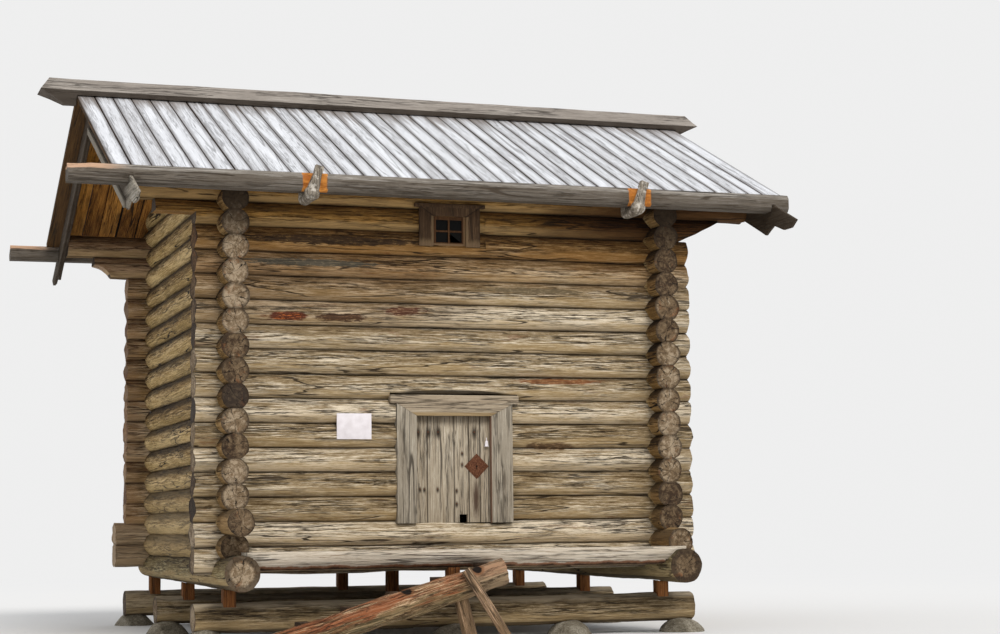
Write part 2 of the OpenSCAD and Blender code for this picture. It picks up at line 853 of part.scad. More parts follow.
// Hooks: a pole under the boards whose root bends down behind the gutter, carries it, and ends in
// front of it in a knob with an arm that turns up past the lip
root_z = gutter_low - root_r + root_bite;
root_back = gutter_y + gutter_w / 2 + bend_r - root_bite;
knob_y = gutter_face - arm_tip_r / 2;
knob_z = gutter_low - knob_hang + knob_r;
bend_z = root_z + bend_r - root_r;
arm_rise = gutter_top + tip_rise - knob_z;
arm_lean = atan(hook_lean / arm_rise);
arm_len = arm_rise / cos(arm_lean);

module hook_pole(x) {
  translate([x, 0, 0]) on_slope() translate([0, pole_start, -roof_t - hook_d / 2])
    rotate([-90, 0, 0]) cylinder(h = run / cos(pitch) * pole_share, r = hook_d / 2);
}

module hook_root(x) {
  translate([x, root_back, bend_z]) sphere(r = bend_r);
  translate([x, root_back, bend_z]) cylinder(h = gutter_top - bend_z, r = bend_r);
  bar_y(x, root_z, root_r, knob_y, root_back);
}

module hook_arm(x) {
  translate([x, knob_y, knob_z]) {
    sphere(r = knob_r);
    rotate([0, arm_lean, 0]) {
      cylinder(h = arm_len - tip_h / 2, r1 = arm_r, r2 = arm_tip_r);
      translate([-tip_w / 2, -tip_deep / 2, arm_len - tip_h]) cube([tip_w, tip_deep, tip_h]);
    }
  }
}

module hook_pair() {
  difference() {
    for (x = [hook_left, hook_right]) {
      hook_pole(x);
      hook_root(x);
    }
    on_slope() translate([-far, -far, -roof_t - seat_gap]) cube([2 * far, 2 * far, far]);
  }
  for (x = [hook_left, hook_right]) hook_arm(x);
}

module hooks() {
  difference() {
    hook_pair();
    gutter_room(seat_gap, -far, far);
    row_solid(last_front, 0, seat_gap, -far, far);
    purlin_solid(seat_gap, -far, far);
  }
}

module gutter() {
  difference() {
    gutter_solid();
    rake_set_left(seat_gap);
    right_end() rake_set_left(seat_gap);
  }
}

module hooks_front() color("darkgray") hooks();
module hooks_rear() color("darkgray") rear_side() hooks();
module gutter_front() color("gray") gutter();
module gutter_rear() color("gray") rear_side() gutter();

// Rake board: its lower end is cut level with a V notch, and a batten runs along its lower edge
rake_top = under_drop + rake_drop;
rake_deep = rake_w / cos(pitch);
function slope_z(y) = eave_z + (y + eave_out) * tan(pitch);
function slope_y(z) = (z - eave_z) / tan(pitch) - eave_out;
rake_cut_z = slope_z(-rake_reach) - rake_top - rake_nose;
notch_y = -rake_reach + rake_slant + rake_tooth;

module rake_outline(extra) {
  polygon([
    [mid_y - seat_gap / 2, slope_z(mid_y) - rake_top + extra],
    [-rake_reach, slope_z(-rake_reach) - rake_top + extra],
    [-rake_reach + rake_slant, rake_cut_z],
    [notch_y, rake_cut_z],
    [notch_y + notch_w, rake_cut_z + notch_h],
    [slope_y(rake_cut_z + rake_top + rake_deep) - extra / tan(pitch), rake_cut_z],
    [mid_y - seat_gap / 2, slope_z(mid_y) - rake_top - rake_deep - extra]]);
}

module strip_outline(extra) {
  low = rake_top + rake_deep;
  deep = strip_w / cos(pitch);
  polygon([
    [mid_y - seat_gap / 2, slope_z(mid_y) - low + deep + extra],
    [-strip_reach, slope_z(-strip_reach) - low + deep + extra],
    [-strip_reach, slope_z(-strip_reach) - low - extra],
    [mid_y - seat_gap / 2, slope_z(mid_y) - low - extra]]);
}

module rake_set_left(extra) {
  translate([-rake_out - rake_t - extra, 0, 0]) rotate([90, 0, 90])
    linear_extrude(rake_t + 2 * extra) rake_outline(extra);
  translate([-rake_out - rake_t - seat_gap - strip_t - extra, 0, 0]) rotate([90, 0, 90])
    linear_extrude(strip_t + 2 * extra) strip_outline(extra);
}

module rakes_left() color("darkslategray") {
  rake_set_left(0);
  rear_side() rake_set_left(0);
}

module rakes_right() color("darkslategray") right_end() {
  rake_set_left(0);
  rear_side() rake_set_left(0);
}

// Extrudes an outline in XZ between two places along Y
module front_extrude(y0, y1) {
  translate([0, y1, 0]) rotate([90, 0, 0]) linear_extrude(y1 - y0) children();
}

// What is cut out of the frame behind the stop, where the leaf shuts
module leaf_rebate() {
  block([opening_l - stop_w, -jamb_front + leaf_set - leaf_play, sill_z - far],
        [opening_r + stop_w, far, head_z + stop_w]);
}

module door_posts() color("gray") difference() {
  union() {
    front_extrude(-jamb_front, jamb_back)
      polygon([[jamb_l, sill_z], [opening_l, sill_z], [opening_l, head_z], [jamb_l, mitre_z]]);
    front_extrude(-jamb_front, jamb_back)
      polygon([[jamb_r, sill_z], [opening_r, sill_z], [opening_r, head_z], [jamb_r, mitre_z]]);
  }
  leaf_rebate();
}

module door_lintel() color("gray") difference() {
  front_extrude(-jamb_front, jamb_back)
    polygon([[opening_l, head_z + seat_gap], [jamb_l, mitre_z + seat_gap],
             [jamb_l - lintel_over, mitre_z + seat_gap], [jamb_l - lintel_over, lintel_top],
             [jamb_r + lintel_over, lintel_top], [jamb_r + lintel_over, mitre_z + seat_gap],
             [jamb_r, mitre_z + seat_gap], [opening_r, head_z + seat_gap]]);
  leaf_rebate();
  pivot_bore();
}

leaf_l = pivot_x - leaf_t / 2;
leaf_r = opening_r + stop_w - leaf_play;
leaf_low = sill_z + leaf_play;
leaf_high = head_z + stop_w - leaf_play;

module door_leaf() color("silver") difference() {
  union() {
    block([pivot_x, leaf_y - leaf_t / 2, leaf_low], [leaf_r, leaf_y + leaf_t / 2, leaf_high]);
    translate([pivot_x, leaf_y, leaf_low]) cylinder(h = leaf_high - leaf_low, d = leaf_t);
    translate([pivot_x, leaf_y, sill_z - pivot_len + seat_gap])
      cylinder(h = door_h + 2 * pivot_len - 2 * seat_gap, d = pivot_d);
  }
  for (k = [1 : leaf_boards - 1])
    translate([leaf_l + k * (leaf_r - leaf_l) / leaf_boards, leaf_y - leaf_t / 2, sill_z])
      cylinder(h = door_h + stop_w, r = joint_r);
  block([door_x + cat_x - cat_w / 2, -far, 0], [door_x + cat_x + cat_w / 2, far, leaf_low + cat_h]);
}

module door_battens() color("tan") {
  batten_l = pivot_x + jamb_back - leaf_y + batten_play;
  batten_r = opening_r - 2 * leaf_play;
  batten_y = leaf_y + leaf_t / 2 + seat_gap;
  for (h = [batten_low, batten_high])
    block([batten_l, batten_y, sill_z + h - batten_h / 2],
          [batten_r, batten_y + batten_t, sill_z + h + batten_h / 2]);
}

module lock_plate() color("firebrick") {
  translate([door_x + plate_x, leaf_y - leaf_t / 2 - seat_gap, sill_z + plate_z])
    rotate([90, 0, 0]) linear_extrude(plate_t) difference() {
      rotate(45) square(plate_w / sqrt(2), center = true);
      circle(r = key_r);
      translate([-key_slot / 2, -key_long]) square([key_slot, key_long]);
    }
}

// Window casing: two side boards mitred into a head board under a longer cap board
casing_l = win_x - win_w / 2 - casing_w;
casing_r = win_x + win_w / 2 + casing_w;
casing_back = -casing_front + casing_t;

module casing_side() {
  front_extrude(-casing_front, casing_back)
    polygon([[casing_l, win_z - casing_foot], [casing_l + casing_w, win_z - casing_foot],
             [casing_l + casing_w, win_z + win_h - seat_gap], [casing_l, cap_z - seat_gap]]);
}

module window_casing() color("saddlebrown") {
  casing_side();
  translate([2 * win_x, 0, 0]) mirror([1, 0, 0]) casing_side();
  front_extrude(-casing_front, casing_back)
    polygon([[casing_l + casing_w, win_z + win_h], [casing_r - casing_w, win_z + win_h],
             [casing_r, cap_z], [casing_l, cap_z]]);
  block([casing_l - cap_over, -casing_front - cap_out, cap_z],
        [casing_r + cap_over, casing_back, cap_z + cap_t]);
}

module window_sash() color("sienna") {
  x0 = win_x - win_w / 2 + seat_gap;
  x1 = win_x + win_w / 2 - seat_gap;
  z0 = win_z + seat_gap;
  z1 = win_z + win_h - seat_gap;
  y0 = casing_back + seat_gap;
  difference() {
    block([x0, y0, z0], [x1, y0 + sash_t, z1]);
    for (a = [0, 1], b = [0, 1]) {
      pane_w = (x1 - x0 - 2 * sash_w - bar_w) / 2;
      pane_h = (z1 - z0 - 2 * sash_w - bar_w) / 2;
      px = x0 + sash_w + a * (pane_w + bar_w);
      pz = z0 + sash_w + b * (pane_h + bar_w);
      block([px, -far, pz], [px + pane_w, far, pz + pane_h]);
    }
    block([x0 + sash_w / 2, y0 + sash_t / 2, z0 + sash_w / 2], [x1 - sash_w / 2, far, z1 - sash_w / 2]);
  }
}

module window_glass() color([0.7, 0.8, 0.9, 0.5]) {
  y0 = casing_back + sash_t / 2 + 2 * seat_gap;
  edge = sash_w / 2 + 2 * seat_gap;
  block([win_x - win_w / 2 + edge, y0, win_z + edge],
        [win_x + win_w / 2 - edge, y0 + glass_t, win_z + win_h - edge]);
}

notice_row = floor((notice_z - row_z(0)) / course);

module notice_plate() color("white") {
  back = max(row_r(notice_row), row_r(notice_row + 1)) + seat_gap;
  block([notice_x - notice_w / 2, -back - notice_t, notice_z - notice_h / 2],
        [notice_x + notice_w / 2, -back, notice_z + notice_h / 2]);
}

// Stair of two sloping logs with treads between them, its head tucked under the landing slab
slab_reach = (slab_d + stair_rear_d) / 2 + seat_gap;
slab_rise = slab_z - stair_top;
stair_out = slab_out + sqrt(slab_reach * slab_reach - slab_rise * slab_rise) + stair_gauge - stair_bite;

// Frame at the head of the stair, with X pointing up the stair
module on_stair() {
  translate([stair_x, -stair_out, stair_top]) rotate([0, -stair_slope, 0]) children();
}

module above_ground() {
  intersection() {
    children();
    block([-far, -far, 0], [far, far, far]);
  }
}

module stair_front(extra) {
  on_stair() bar_x(0, 0, stair_d / 2 + extra, -stair_len, 0);
}

module stair_rear(extra) {
  on_stair() bar_x(stair_gauge, 0, stair_rear_d / 2 + extra, -stair_len, 0);
}

module stair_logs() color("chocolate") {
  above_ground() stair_front(0);
  difference() {
    above_ground() stair_rear(0);
    slab_solid(seat_gap);
  }
}

tread_step = (stair_len - tread_first - tread_last) / (tread_count - 1);

module stair_treads() color("saddlebrown") {
  for (k = [0 : tread_count - 1])
    difference() {
      on_stair() translate([-tread_first - k * tread_step, 0, stair_d / 2 + tread_proud - tread_t])
        rotate([0, stair_slope, 0]) cube([tread_w, stair_gauge + tread_past, tread_t]);
      stair_front(seat_gap);
      stair_rear(seat_gap);
    }
}

// A leg that runs down from a point, leaning along the stair and spreading away from it
module leg(p, r, lean, spread) {
  translate(p) rotate([spread, lean, 0]) translate([0, 0, -far]) cylinder(h = far, r = r);
}

// The front leg is scribed to the flank of the front log, the rear leg to its underside
front_leg_y = -stair_out - (stair_d + leg_d) / 2 + leg_bite;
front_leg_head = [stair_x - leg_down, front_leg_y, stair_top + leg_head];
rear_leg_head = [stair_x - rear_leg_down, -stair_out + rear_leg_back, stair_top - rear_leg_drop];

module stair_legs() color("rosybrown") {
  difference() {
    above_ground() leg(front_leg_head, leg_d / 2, -leg_lean, -leg_spread);
    stair_front(seat_gap);
  }
  difference() {
    above_ground() leg(rear_leg_head, rear_leg_d / 2, -rear_leg_lean, rear_leg_spread);
    stair_front(seat_gap);
    stair_rear(seat_gap);
  }
}

place() stones_front();
place() stones_middle();
place() stones_rear();
place() sleeper_front();
place() sleeper_middle();
place() sleeper_rear();
place() posts_front();
place() posts_middle();
place() posts_rear();
place() cross_log_left();
place() cross_log_right();
place() floor_bearer();
place() floor_boards();
place() front_wall_lower();
place() front_wall_left();
place() front_wall_right();
place() front_wall_upper();
place() front_bracket_log();
place() front_plate();
place() left_wall();
place() right_wall();
place() rear_wall();
place() rear_bracket_log();
place() rear_plate();
place() left_gable();
place() right_gable();
place() purlins();
place() roof_front();
place() roof_rear();
place() ridge_log();
place() gutter_front();
place() gutter_rear();
place() hooks_front();
place() hooks_rear();
place() rakes_left();
place() rakes_right();
place() door_posts();
place() door_lintel();
place() door_leaf();
place() door_battens();
place() lock_plate();
place() window_casing();
place() window_sash();
place() window_glass();
place() notice_plate();
place() landing_slab();
place() stair_logs();
place() stair_treads();
place() stair_legs();
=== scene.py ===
import math
import random

import bpy
from mathutils import Matrix, Vector


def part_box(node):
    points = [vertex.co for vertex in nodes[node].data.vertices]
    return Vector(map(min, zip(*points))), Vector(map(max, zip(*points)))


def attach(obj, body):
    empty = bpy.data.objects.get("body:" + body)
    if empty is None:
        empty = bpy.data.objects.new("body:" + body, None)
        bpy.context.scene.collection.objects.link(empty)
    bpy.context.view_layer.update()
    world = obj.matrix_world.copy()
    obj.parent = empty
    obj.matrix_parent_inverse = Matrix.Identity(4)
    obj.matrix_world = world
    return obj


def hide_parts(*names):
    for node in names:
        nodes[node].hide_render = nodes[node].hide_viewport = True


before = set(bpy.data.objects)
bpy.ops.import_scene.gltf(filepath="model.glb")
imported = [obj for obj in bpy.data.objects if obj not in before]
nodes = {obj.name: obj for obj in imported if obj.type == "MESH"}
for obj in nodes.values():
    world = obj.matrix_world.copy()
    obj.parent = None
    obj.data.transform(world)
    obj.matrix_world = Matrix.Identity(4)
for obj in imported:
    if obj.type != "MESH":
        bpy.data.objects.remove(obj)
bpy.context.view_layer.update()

# Sizes of the building in metres, in the frame of the CAD part
COURSE = 0.24
LEFT_X = -2.175
RIGHT_X = 2.325
FRONT_Y = -2.2
REAR_Y = 2.2
SIDE_Z = 0.685
ROW_Z = 0.805
PITCH = math.radians(24.2)
EAVE_Y = 2.77
EAVE_Z = 4.515
BOARD_T = 0.028
VERGE_LEFT = -3.395
VERGE_RIGHT = 3.545
GUTTER_FACE = 2.929
GUTTER_TOP = 4.492
HOOK_PLACES = (-1.52, 1.85)
HOLLOW_SHIFT = 0.037
HOLLOW_HALF = 0.126
SLAB_LOW = 0.705
WINDOW_X = 0.047
BELL_X = 0.428
BELL_Z = 1.985
CASING_INNER = 0.172
CASING_HEAD = 4.213
LINTEL_LOW = 2.225
SLEEPER_Z = 0.255
BEARER_X = 0.075
BEARER_Z = 0.925
PURLIN_Z = 5.588
BATTEN_LINE = 3.326
STAIR_SLOPE = math.radians(16.3)
FRONT_LEG_TURN = (math.radians(-10), math.radians(-30), 0)
REAR_LEG_TURN = (math.radians(6), math.radians(-16), 0)
LEG_SPLIT_Y = -3.155
PAST_CORNER = 0.25
GROUND_PLAY = 0.001

# Joints of the roof boards and their mean widths
UPPER_JOINT = 0.010
UPPER_WIDTH = 0.183
LOWER_JOINT = 0.020
LOWER_WIDTH = 0.200
BOARD_PARTS = 6

# Places seen from the front, along X, or along X and up Z
LEAF_JOINTS = (-0.189, 0.091, 0.247, 0.361)
TOP_NAILS = ((-0.283, 2.040), (-0.179, 2.041), (-0.075, 2.041), (0.305, 2.041))
PATCH_NAILS = ((0.175, 1.832), (0.174, 1.722))
LOW_NAILS = ((-0.266, 1.475), (-0.222, 1.475), (-0.084, 1.474), (0.114, 1.463), (0.113, 1.329))
KEYHOLE = (0.327, 1.699)
KEY_SMEAR = (0.318, 1.38)
KNOT_HOLES = ((-0.670, 0.505), (0.026, 0.694))
# where the painted shadow of the settling gap above the lintel lies
SETTLING_GAP_SHADOW = (0.07, 2.428)

# Rotten and dark places on the front's logs, with half their reach and the colours of core and fringe
RED_ROT = dict(x=-1.64, z=3.165, half_long=0.26, half_high=0.050, core=(84, 34, 16), fringe=(196, 104, 46))
BROWN_ROT = dict(x=-1.08, z=3.165, half_long=0.30, half_high=0.048, core=(66, 42, 26), fringe=(112, 78, 50))
SMALL_ROT = dict(x=-0.44, z=3.240, half_long=0.24, half_high=0.050, core=(88, 52, 36), fringe=(160, 128, 96))
GREY_STREAK = dict(x=-1.4, z=3.70, half_long=0.8, half_high=0.042, core=(84, 78, 66), fringe=(120, 108, 86))
DARK_STREAK = dict(x=-1.15, z=3.930, half_long=1.10, half_high=0.050, core=(66, 48, 32), fringe=(104, 80, 50))
TAN_STREAK = dict(x=1.20, z=2.560, half_long=0.50, half_high=0.036, core=(126, 78, 44), fringe=(176, 136, 90))
BROWN_SPOT = dict(x=1.10, z=1.900, half_long=0.30, half_high=0.040, core=(92, 70, 48), fringe=(150, 120, 84))
OLIVE_STREAK = dict(x=0.95, z=3.48, half_long=0.6, half_high=0.036, core=(100, 86, 64), fringe=(136, 120, 92))
FRONT_ROT = (RED_ROT, BROWN_ROT, SMALL_ROT, GREY_STREAK, DARK_STREAK, TAN_STREAK, BROWN_SPOT, OLIVE_STREAK)

# How straight a log's end faces along the log, the most cracks of an end, and the height of the logs' relief
END_FACING = 0.8
SPOKES = 9
LOG_RELIEF = 0.016

# The photograph's camera: its place, its turn to the side, up and over, and its lens
CAMERA_PLACE = (-5.955, -21.313, 1.109)
CAMERA_TURN = (math.radians(18.987), math.radians(5.963), math.radians(-0.644))
SENSOR = 36
LENS = SENSOR * 1.993


# Building blocks of the finishes

class Value:
    """A number, place or colour that a node gives, so that sums on it can be written as sums."""

    def __init__(self, socket):
        self.socket = socket
        self.tree = socket.id_data

    def __add__(self, other):
        return calc("ADD", self, other)

    def __sub__(self, other):
        return calc("SUBTRACT", self, other)

    def __rsub__(self, other):
        return calc("SUBTRACT", other, self)

    def __mul__(self, other):
        return calc("MULTIPLY", self, other)

    def __truediv__(self, other):
        return calc("DIVIDE", self, other)

    def __gt__(self, other):
        return calc("GREATER_THAN", self, other)

    def __lt__(self, other):
        return calc("LESS_THAN", self, other)

    def __abs__(self):
        return calc("ABSOLUTE", self)

    def to(self, socket):
        """Plugs the value into a socket."""
        self.tree.links.new(self.socket, socket)

    __radd__ = __add__
    __rmul__ = __mul__


def outputs_of(tree, kind, plugs, **settings):
    """Adds a node to a tree. Numbers or other nodes' values are plugged into it."""
    made = tree.nodes.new(kind)
    for key, value in settings.items():
        setattr(made, key, value)
    for key, value in plugs.items():
        if isinstance(value, Value):
            value.to(made.inputs[key])
        else:
            made.inputs[key].default_value = value
    return made.outputs


def source(tree, kind, output=0, plugs=None, **settings):
    """Adds a node that starts from nothing, and gives one value of it."""
    return Value(outputs_of(tree, kind, plugs or {}, **settings)[output])


def tree_of(plugs):
    return next(value.tree for value in plugs.values() if isinstance(value, Value))


def step(kind, plugs, output=0, **settings):
    """Adds a node to the tree that its plugs come from, and gives one value of it."""
    return source(tree_of(plugs), kind, output, plugs, **settings)


def calc(operation, *terms):
    return step("ShaderNodeMath", dict(enumerate(terms)), operation=operation)


def slant_length(across, up):
    return calc("SQRT", across * across + up * up)


def centred(value, by):
    """A value about 0.5 turned into one about nothing."""
    return (value - 0.5) * by


def blend(amount, first, second, how="MIX"):
    return step("ShaderNodeMix", {0: amount, 6: first, 7: second}, 2, data_type="RGBA", blend_type=how)


def glaze(amount, colour, tint):
    """Darkens a colour through a tint, as a thin glaze does."""
    return blend(amount, colour, blend(1.0, colour, tint, "MULTIPLY"))


def spread(value, low, high, new_low=0.0, new_high=1.0):
    """Takes the range from low to high to a new one, with soft ends."""
    return step("ShaderNodeMapRange", {0: value, 1: low, 2: high, 3: new_low, 4: new_high},
                interpolation_type="SMOOTHSTEP")


def point(x, y, z):
    return step("ShaderNodeCombineXYZ", {0: x, 1: y, 2: z})


def parts(place):
    return [Value(part) for part in outputs_of(place.tree, "ShaderNodeSeparateXYZ", {0: place})]


def pressed(place, *by):
    """A place pressed together by factors along X, Y and Z. A factor of 0 leaves its axis out."""
    return point(*(axis * factor if factor else 0.0 for axis, factor in zip(place, by)))


def place_of(tree):
    """Where a point of the surface lies in the frame of the whole building."""
    return source(tree, "ShaderNodeTexCoord", "Object")


def tag_of(tree, name):
    """A number that the modelling wrote on each corner of a piece."""
    return source(tree, "ShaderNodeAttribute", "Fac", attribute_name=name)


def cloud(place, scale=1.0, detail=4.0, rough=0.55, warp=0.0):
    return step("ShaderNodeTexNoise",
                {"Vector": place, "Scale": scale, "Detail": detail, "Roughness": rough, "Distortion": warp})


def chance(value):
    return step("ShaderNodeTexWhiteNoise", {"W": value}, noise_dimensions="1D")


def ramp(value, stops):
    made = step("ShaderNodeValToRGB", {0: value})
    keys = made.socket.node.color_ramp.elements
    while len(keys) < len(stops):
        keys.new(0.5)
    for key, (place, colour) in zip(keys, stops):
        key.position = place
        key.color = (*colour, 1)
    return made


def tone(red, green, blue):
    """A colour as a paint shop names it, 0 to 255, turned into the shader's own scale."""
    shares = [value / 255 for value in (red, green, blue)]
    return tuple(value / 12.92 if value <= 0.04045 else ((value + 0.055) / 1.055) ** 2.4 for value in shares)


def paint(red, green, blue):
    return (*tone(red, green, blue), 1)


def recipe(name, numbers, colours):
    """Starts a node group that takes numbers and colours, and gives a colour, a roughness and a relief."""
    tree = bpy.data.node_groups.new(name, "ShaderNodeTree")
    for key in numbers:
        tree.interface.new_socket(key, in_out="INPUT", socket_type="NodeSocketFloat")
    for key in colours:
        tree.interface.new_socket(key, in_out="INPUT", socket_type="NodeSocketColor")
    tree.interface.new_socket("Color", in_out="OUTPUT", socket_type="NodeSocketColor")
    tree.interface.new_socket("Roughness", in_out="OUTPUT", socket_type="NodeSocketFloat")
    tree.interface.new_socket("Relief", in_out="OUTPUT", socket_type="NodeSocketFloat")
    inlets = tree.nodes.new("NodeGroupInput").outputs
    take = {inlet.name: Value(inlet) for inlet in inlets if inlet.name}
    return tree, take, tree.nodes.new("NodeGroupOutput").inputs


def use_recipe(made_by, plugs):
    """Adds a recipe to the finish that its plugs come from, and gives its values by name."""
    outlets = outputs_of(tree_of(plugs), "ShaderNodeGroup", plugs, node_tree=made_by)
    return {outlet.name: Value(outlet) for outlet in outlets}


def wandering_lines(place, width, detail=4.0, rough=0.6, warp=0.3):
    """Thin lines that wander, where a cloud pattern passes through its middle value."""
    off = abs(cloud(place, 1.0, detail, rough, warp) - 0.5)
    return spread(off, width, width * 0.3)


def end_grain(at, salt, own, turn, radius, rot, dirt):
    """The cut end of a log: rings, spokes of cracks, rusty patches and a dark rind."""
    bend = turn + centred(cloud(at(0.0, 22.0), detail=3.0), 1.0)
    spokes = bend * (SPOKES / (2 * math.pi)) + own * 7.0
    spoke = calc("FLOOR", spokes)
    away = abs(calc("FRACT", spokes) - 0.5) * radius * (2 * math.pi / SPOKES)
    luck = chance(spoke * 1.37 + salt * 3.3)
    reach = spread(radius, 0.005, 0.09, 0.0006, 0.0045) * luck
    split = spread(away / reach, 1.0, 0.4) * spread(luck, 0.42, 0.52)
    rim = spread(radius, 0.03, 0.10) * 0.8
    fan_x, fan_y = (calc(way, turn) * 9.0 for way in ("COSINE", "SINE"))
    fan = point(fan_x, fan_y, radius * 7.0 + salt)
    bare = spread(cloud(at(0.0, 12.0), detail=3.0), 0.44, 0.56)
    hair = wandering_lines(fan, 0.034, detail=5.0, warp=0.0) * rim * bare * 0.75
    blot = cloud(at(0.0, 20.0), detail=7.0, rough=0.75, warp=0.4)
    fanned = cloud(fan, 2.0, detail=5.0, rough=0.7)
    kind = chance(salt + 7.7)
    broad = cloud(at(0.0, 6.0), detail=4.0, rough=0.6)
    ring_place = radius * 150.0 + centred(blot, 3.0)
    rings = cloud(point(ring_place, salt, 0.0), detail=3.0)
    ground = blot * 0.92 + fanned * 0.08 + centred(kind, 0.30) + centred(broad, 0.40) + centred(rings, 0.30)
    face = blend(spread(ground, 0.34, 0.52), paint(56, 41, 27), paint(108, 89, 66))
    face = blend(spread(ground, 0.52, 0.70), face, paint(158, 140, 116))
    rusty = spread(rot, 0.57, 0.66) * spread(radius, 0.05, 0.12, 0.1, 0.7)
    face = blend(rusty, face, paint(134, 84, 48))
    charred = spread(kind, 0.16, 0.10) * 0.6
    face = blend(charred, face, paint(44, 38, 34))
    rind = radius + centred(dirt, 0.06)
    face = blend(spread(rind, 0.096, 0.132, 0.0, 0.75), face, paint(50, 38, 26))
    face = blend(calc("MAXIMUM", split, hair), face, paint(26, 19, 13))
    return face, blot * 0.5 - split


def make_log_recipe():
    """Round logs laid in courses: grain, checks, stains and the cracked end grain, with painted shade in the
    grooves between the logs and on the ends under the eaves, and a paler lower band on each log that is
    partly clean sheltered wood and partly painted light.
    """
    tree, take, give = recipe(
        "round_log_wood",
        ("Along", "Depth", "Height", "End", "Seed", "Course", "Stains", "Checks", "Crowns", "Feet", "EaveShade"),
        ("Pale", "Mid", "Dark", "Stain", "Crown", "CleanLitFoot"))
    which = calc("ROUND", take["Height"] / take["Course"])
    local = take["Height"] - which * take["Course"]
    salt = which * 5.17 + take["Seed"]
    along = take["Along"] + salt * 2.9
    turn = calc("ARCTAN2", local, take["Depth"])
    radius = slant_length(local, take["Depth"])

    def at(long_by, cross_by):
        return point(along * long_by + salt * 1.31, take["Depth"] * cross_by, local * cross_by)

    streak = cloud(at(2.6, 74.0), detail=8.0, rough=0.80, warp=0.2)
    fibre = cloud(at(14.0, 240.0), detail=3.0, rough=0.7)
    patch = cloud(at(1.0, 7.0), detail=5.0, rough=0.62, warp=0.5)
    rot = cloud(at(1.5, 9.0), detail=6.0, rough=0.7, warp=0.8)
    dirt = cloud(at(3.0, 34.0), detail=7.0, rough=0.74, warp=0.4)
    own = chance(salt)
    upper = spread(local + centred(patch, 0.18), -0.05, 0.05)
    level = streak * 1.10 + fibre * 0.50 + centred(own, 0.16) + centred(patch, 0.50) - 0.02
    level = level - upper * 0.06
    low = spread(level, 0.54, 0.69)
    high = spread(level, 0.69, 0.88)
    side = blend(high, blend(low, take["Dark"], take["Mid"]), take["Pale"])
    crown = local + centred(dirt, 0.12) + centred(streak, 0.08)
    side = blend(spread(crown, 0.0, 0.075) * take["Crowns"], side, take["Crown"])
    # partly painted light: the lower band of each log is paler, partly clean sheltered wood and partly
    # painted light against the shade under the log
    clean_lit_foot = local + centred(dirt, 0.14) + centred(patch, 0.14)
    lower = spread(clean_lit_foot, -0.010, -0.060)
    side = blend(lower * take["Feet"], side, take["CleanLitFoot"])
    stained = spread(rot, 0.60, 0.68) * take["Stains"]
    side = blend(stained, side, take["Stain"])
    black = spread(dirt, 0.56, 0.68) * (upper * 0.45 + 0.15)
    side = blend(black, side, paint(58, 46, 32))
    # painted shade: the grooves between the logs are darkened
    seam_shade = spread(abs(local), 0.103, 0.121, 0.0, 0.75)
    side = blend(seam_shade, side, paint(40, 29, 18))
    runs = spread(cloud(at(0.9, 3.0), detail=2.0), 0.40, 0.50)
    wide = wandering_lines(at(0.32, 5.0), 0.008, detail=3.0, rough=0.5, warp=0.0) * runs
    crowd = spread(cloud(at(1.0, 8.0), detail=3.0), 0.42, 0.54) * (1.0 - lower * 0.65)
    thin = wandering_lines(at(1.5, 40.0), 0.034, detail=4.0, warp=0.0) * crowd * 0.90
    checks = calc("MAXIMUM", wide, thin) * take["Checks"]
    side = blend(checks, side, paint(40, 29, 18))
    grain = streak * 0.5 + fibre * 0.25 - checks

    face, face_relief = end_grain(at, salt, own, turn, radius, rot, dirt)
    # painted shade: log ends under the eaves are darkened towards dark brown
    face = blend(take["EaveShade"], face, paint(46, 35, 24))
    blend(take["End"], side, face).to(give["Color"])
    (0.93 - high * 0.13).to(give["Roughness"])
    step("ShaderNodeMix", {0: take["End"], 2: grain, 3: face_relief}, data_type="FLOAT").to(give["Relief"])
    return tree


def make_board_recipe():
    """Sawn or hewn boards side by side: each has its own tone, grain, checks and knots."""
    tree, take, give = recipe(
        "weathered_board", ("Along", "Across", "Face", "Own", "Seed", "Checks", "Knots", "Gain"),
        ("Pale", "Mid", "Dark"))
    salt = take["Own"] * 43.1 + take["Seed"]
    along = take["Along"] + salt * 1.7

    def at(long_by, cross_by):
        across = take["Across"] * cross_by + salt
        return point(along * long_by, across, take["Face"] * cross_by)

    knot = step("ShaderNodeTexVoronoi", {"Vector": at(1.1, 6.0), "Scale": 1.0, "Randomness": 1.0},
                "Distance", feature="F1")
    eye = spread(knot, 0.15, 0.05) * take["Knots"]
    streak = cloud(at(2.4, 90.0), detail=8.0, rough=0.78, warp=0.1)
    fibre = cloud(at(14.0, 420.0), detail=3.0, rough=0.7)
    patch = cloud(at(1.0, 7.0), detail=4.0, rough=0.62, warp=0.4)
    level = centred(streak, 1.1) + centred(fibre, 0.45) + centred(take["Own"], 0.16) + centred(patch, 0.35)
    level = 0.5 + level * take["Gain"]
    low = spread(level, 0.24, 0.50)
    high = spread(level, 0.50, 0.76)
    plain = blend(high, blend(low, take["Dark"], take["Mid"]), take["Pale"])
    crowd = spread(cloud(at(1.0, 9.0), detail=3.0), 0.44, 0.56)
    thin = wandering_lines(at(1.3, 34.0), 0.036, detail=3.0, warp=0.0) * crowd * 0.8
    seldom = spread(patch, 0.44, 0.54)
    wide = wandering_lines(at(0.3, 7.0), 0.014, detail=2.0, rough=0.4, warp=0.0) * seldom
    checks = calc("MAXIMUM", wide, thin) * take["Checks"]
    plain = blend(eye, plain, paint(52, 38, 26))
    plain = blend(checks, plain, paint(36, 28, 20))
    plain.to(give["Color"])
    (0.92 - high * 0.15).to(give["Roughness"])
    (streak * 0.5 + fibre * 0.25 - checks).to(give["Relief"])
    return tree


LOG_RECIPE = make_log_recipe()
BOARD_RECIPE = make_board_recipe()


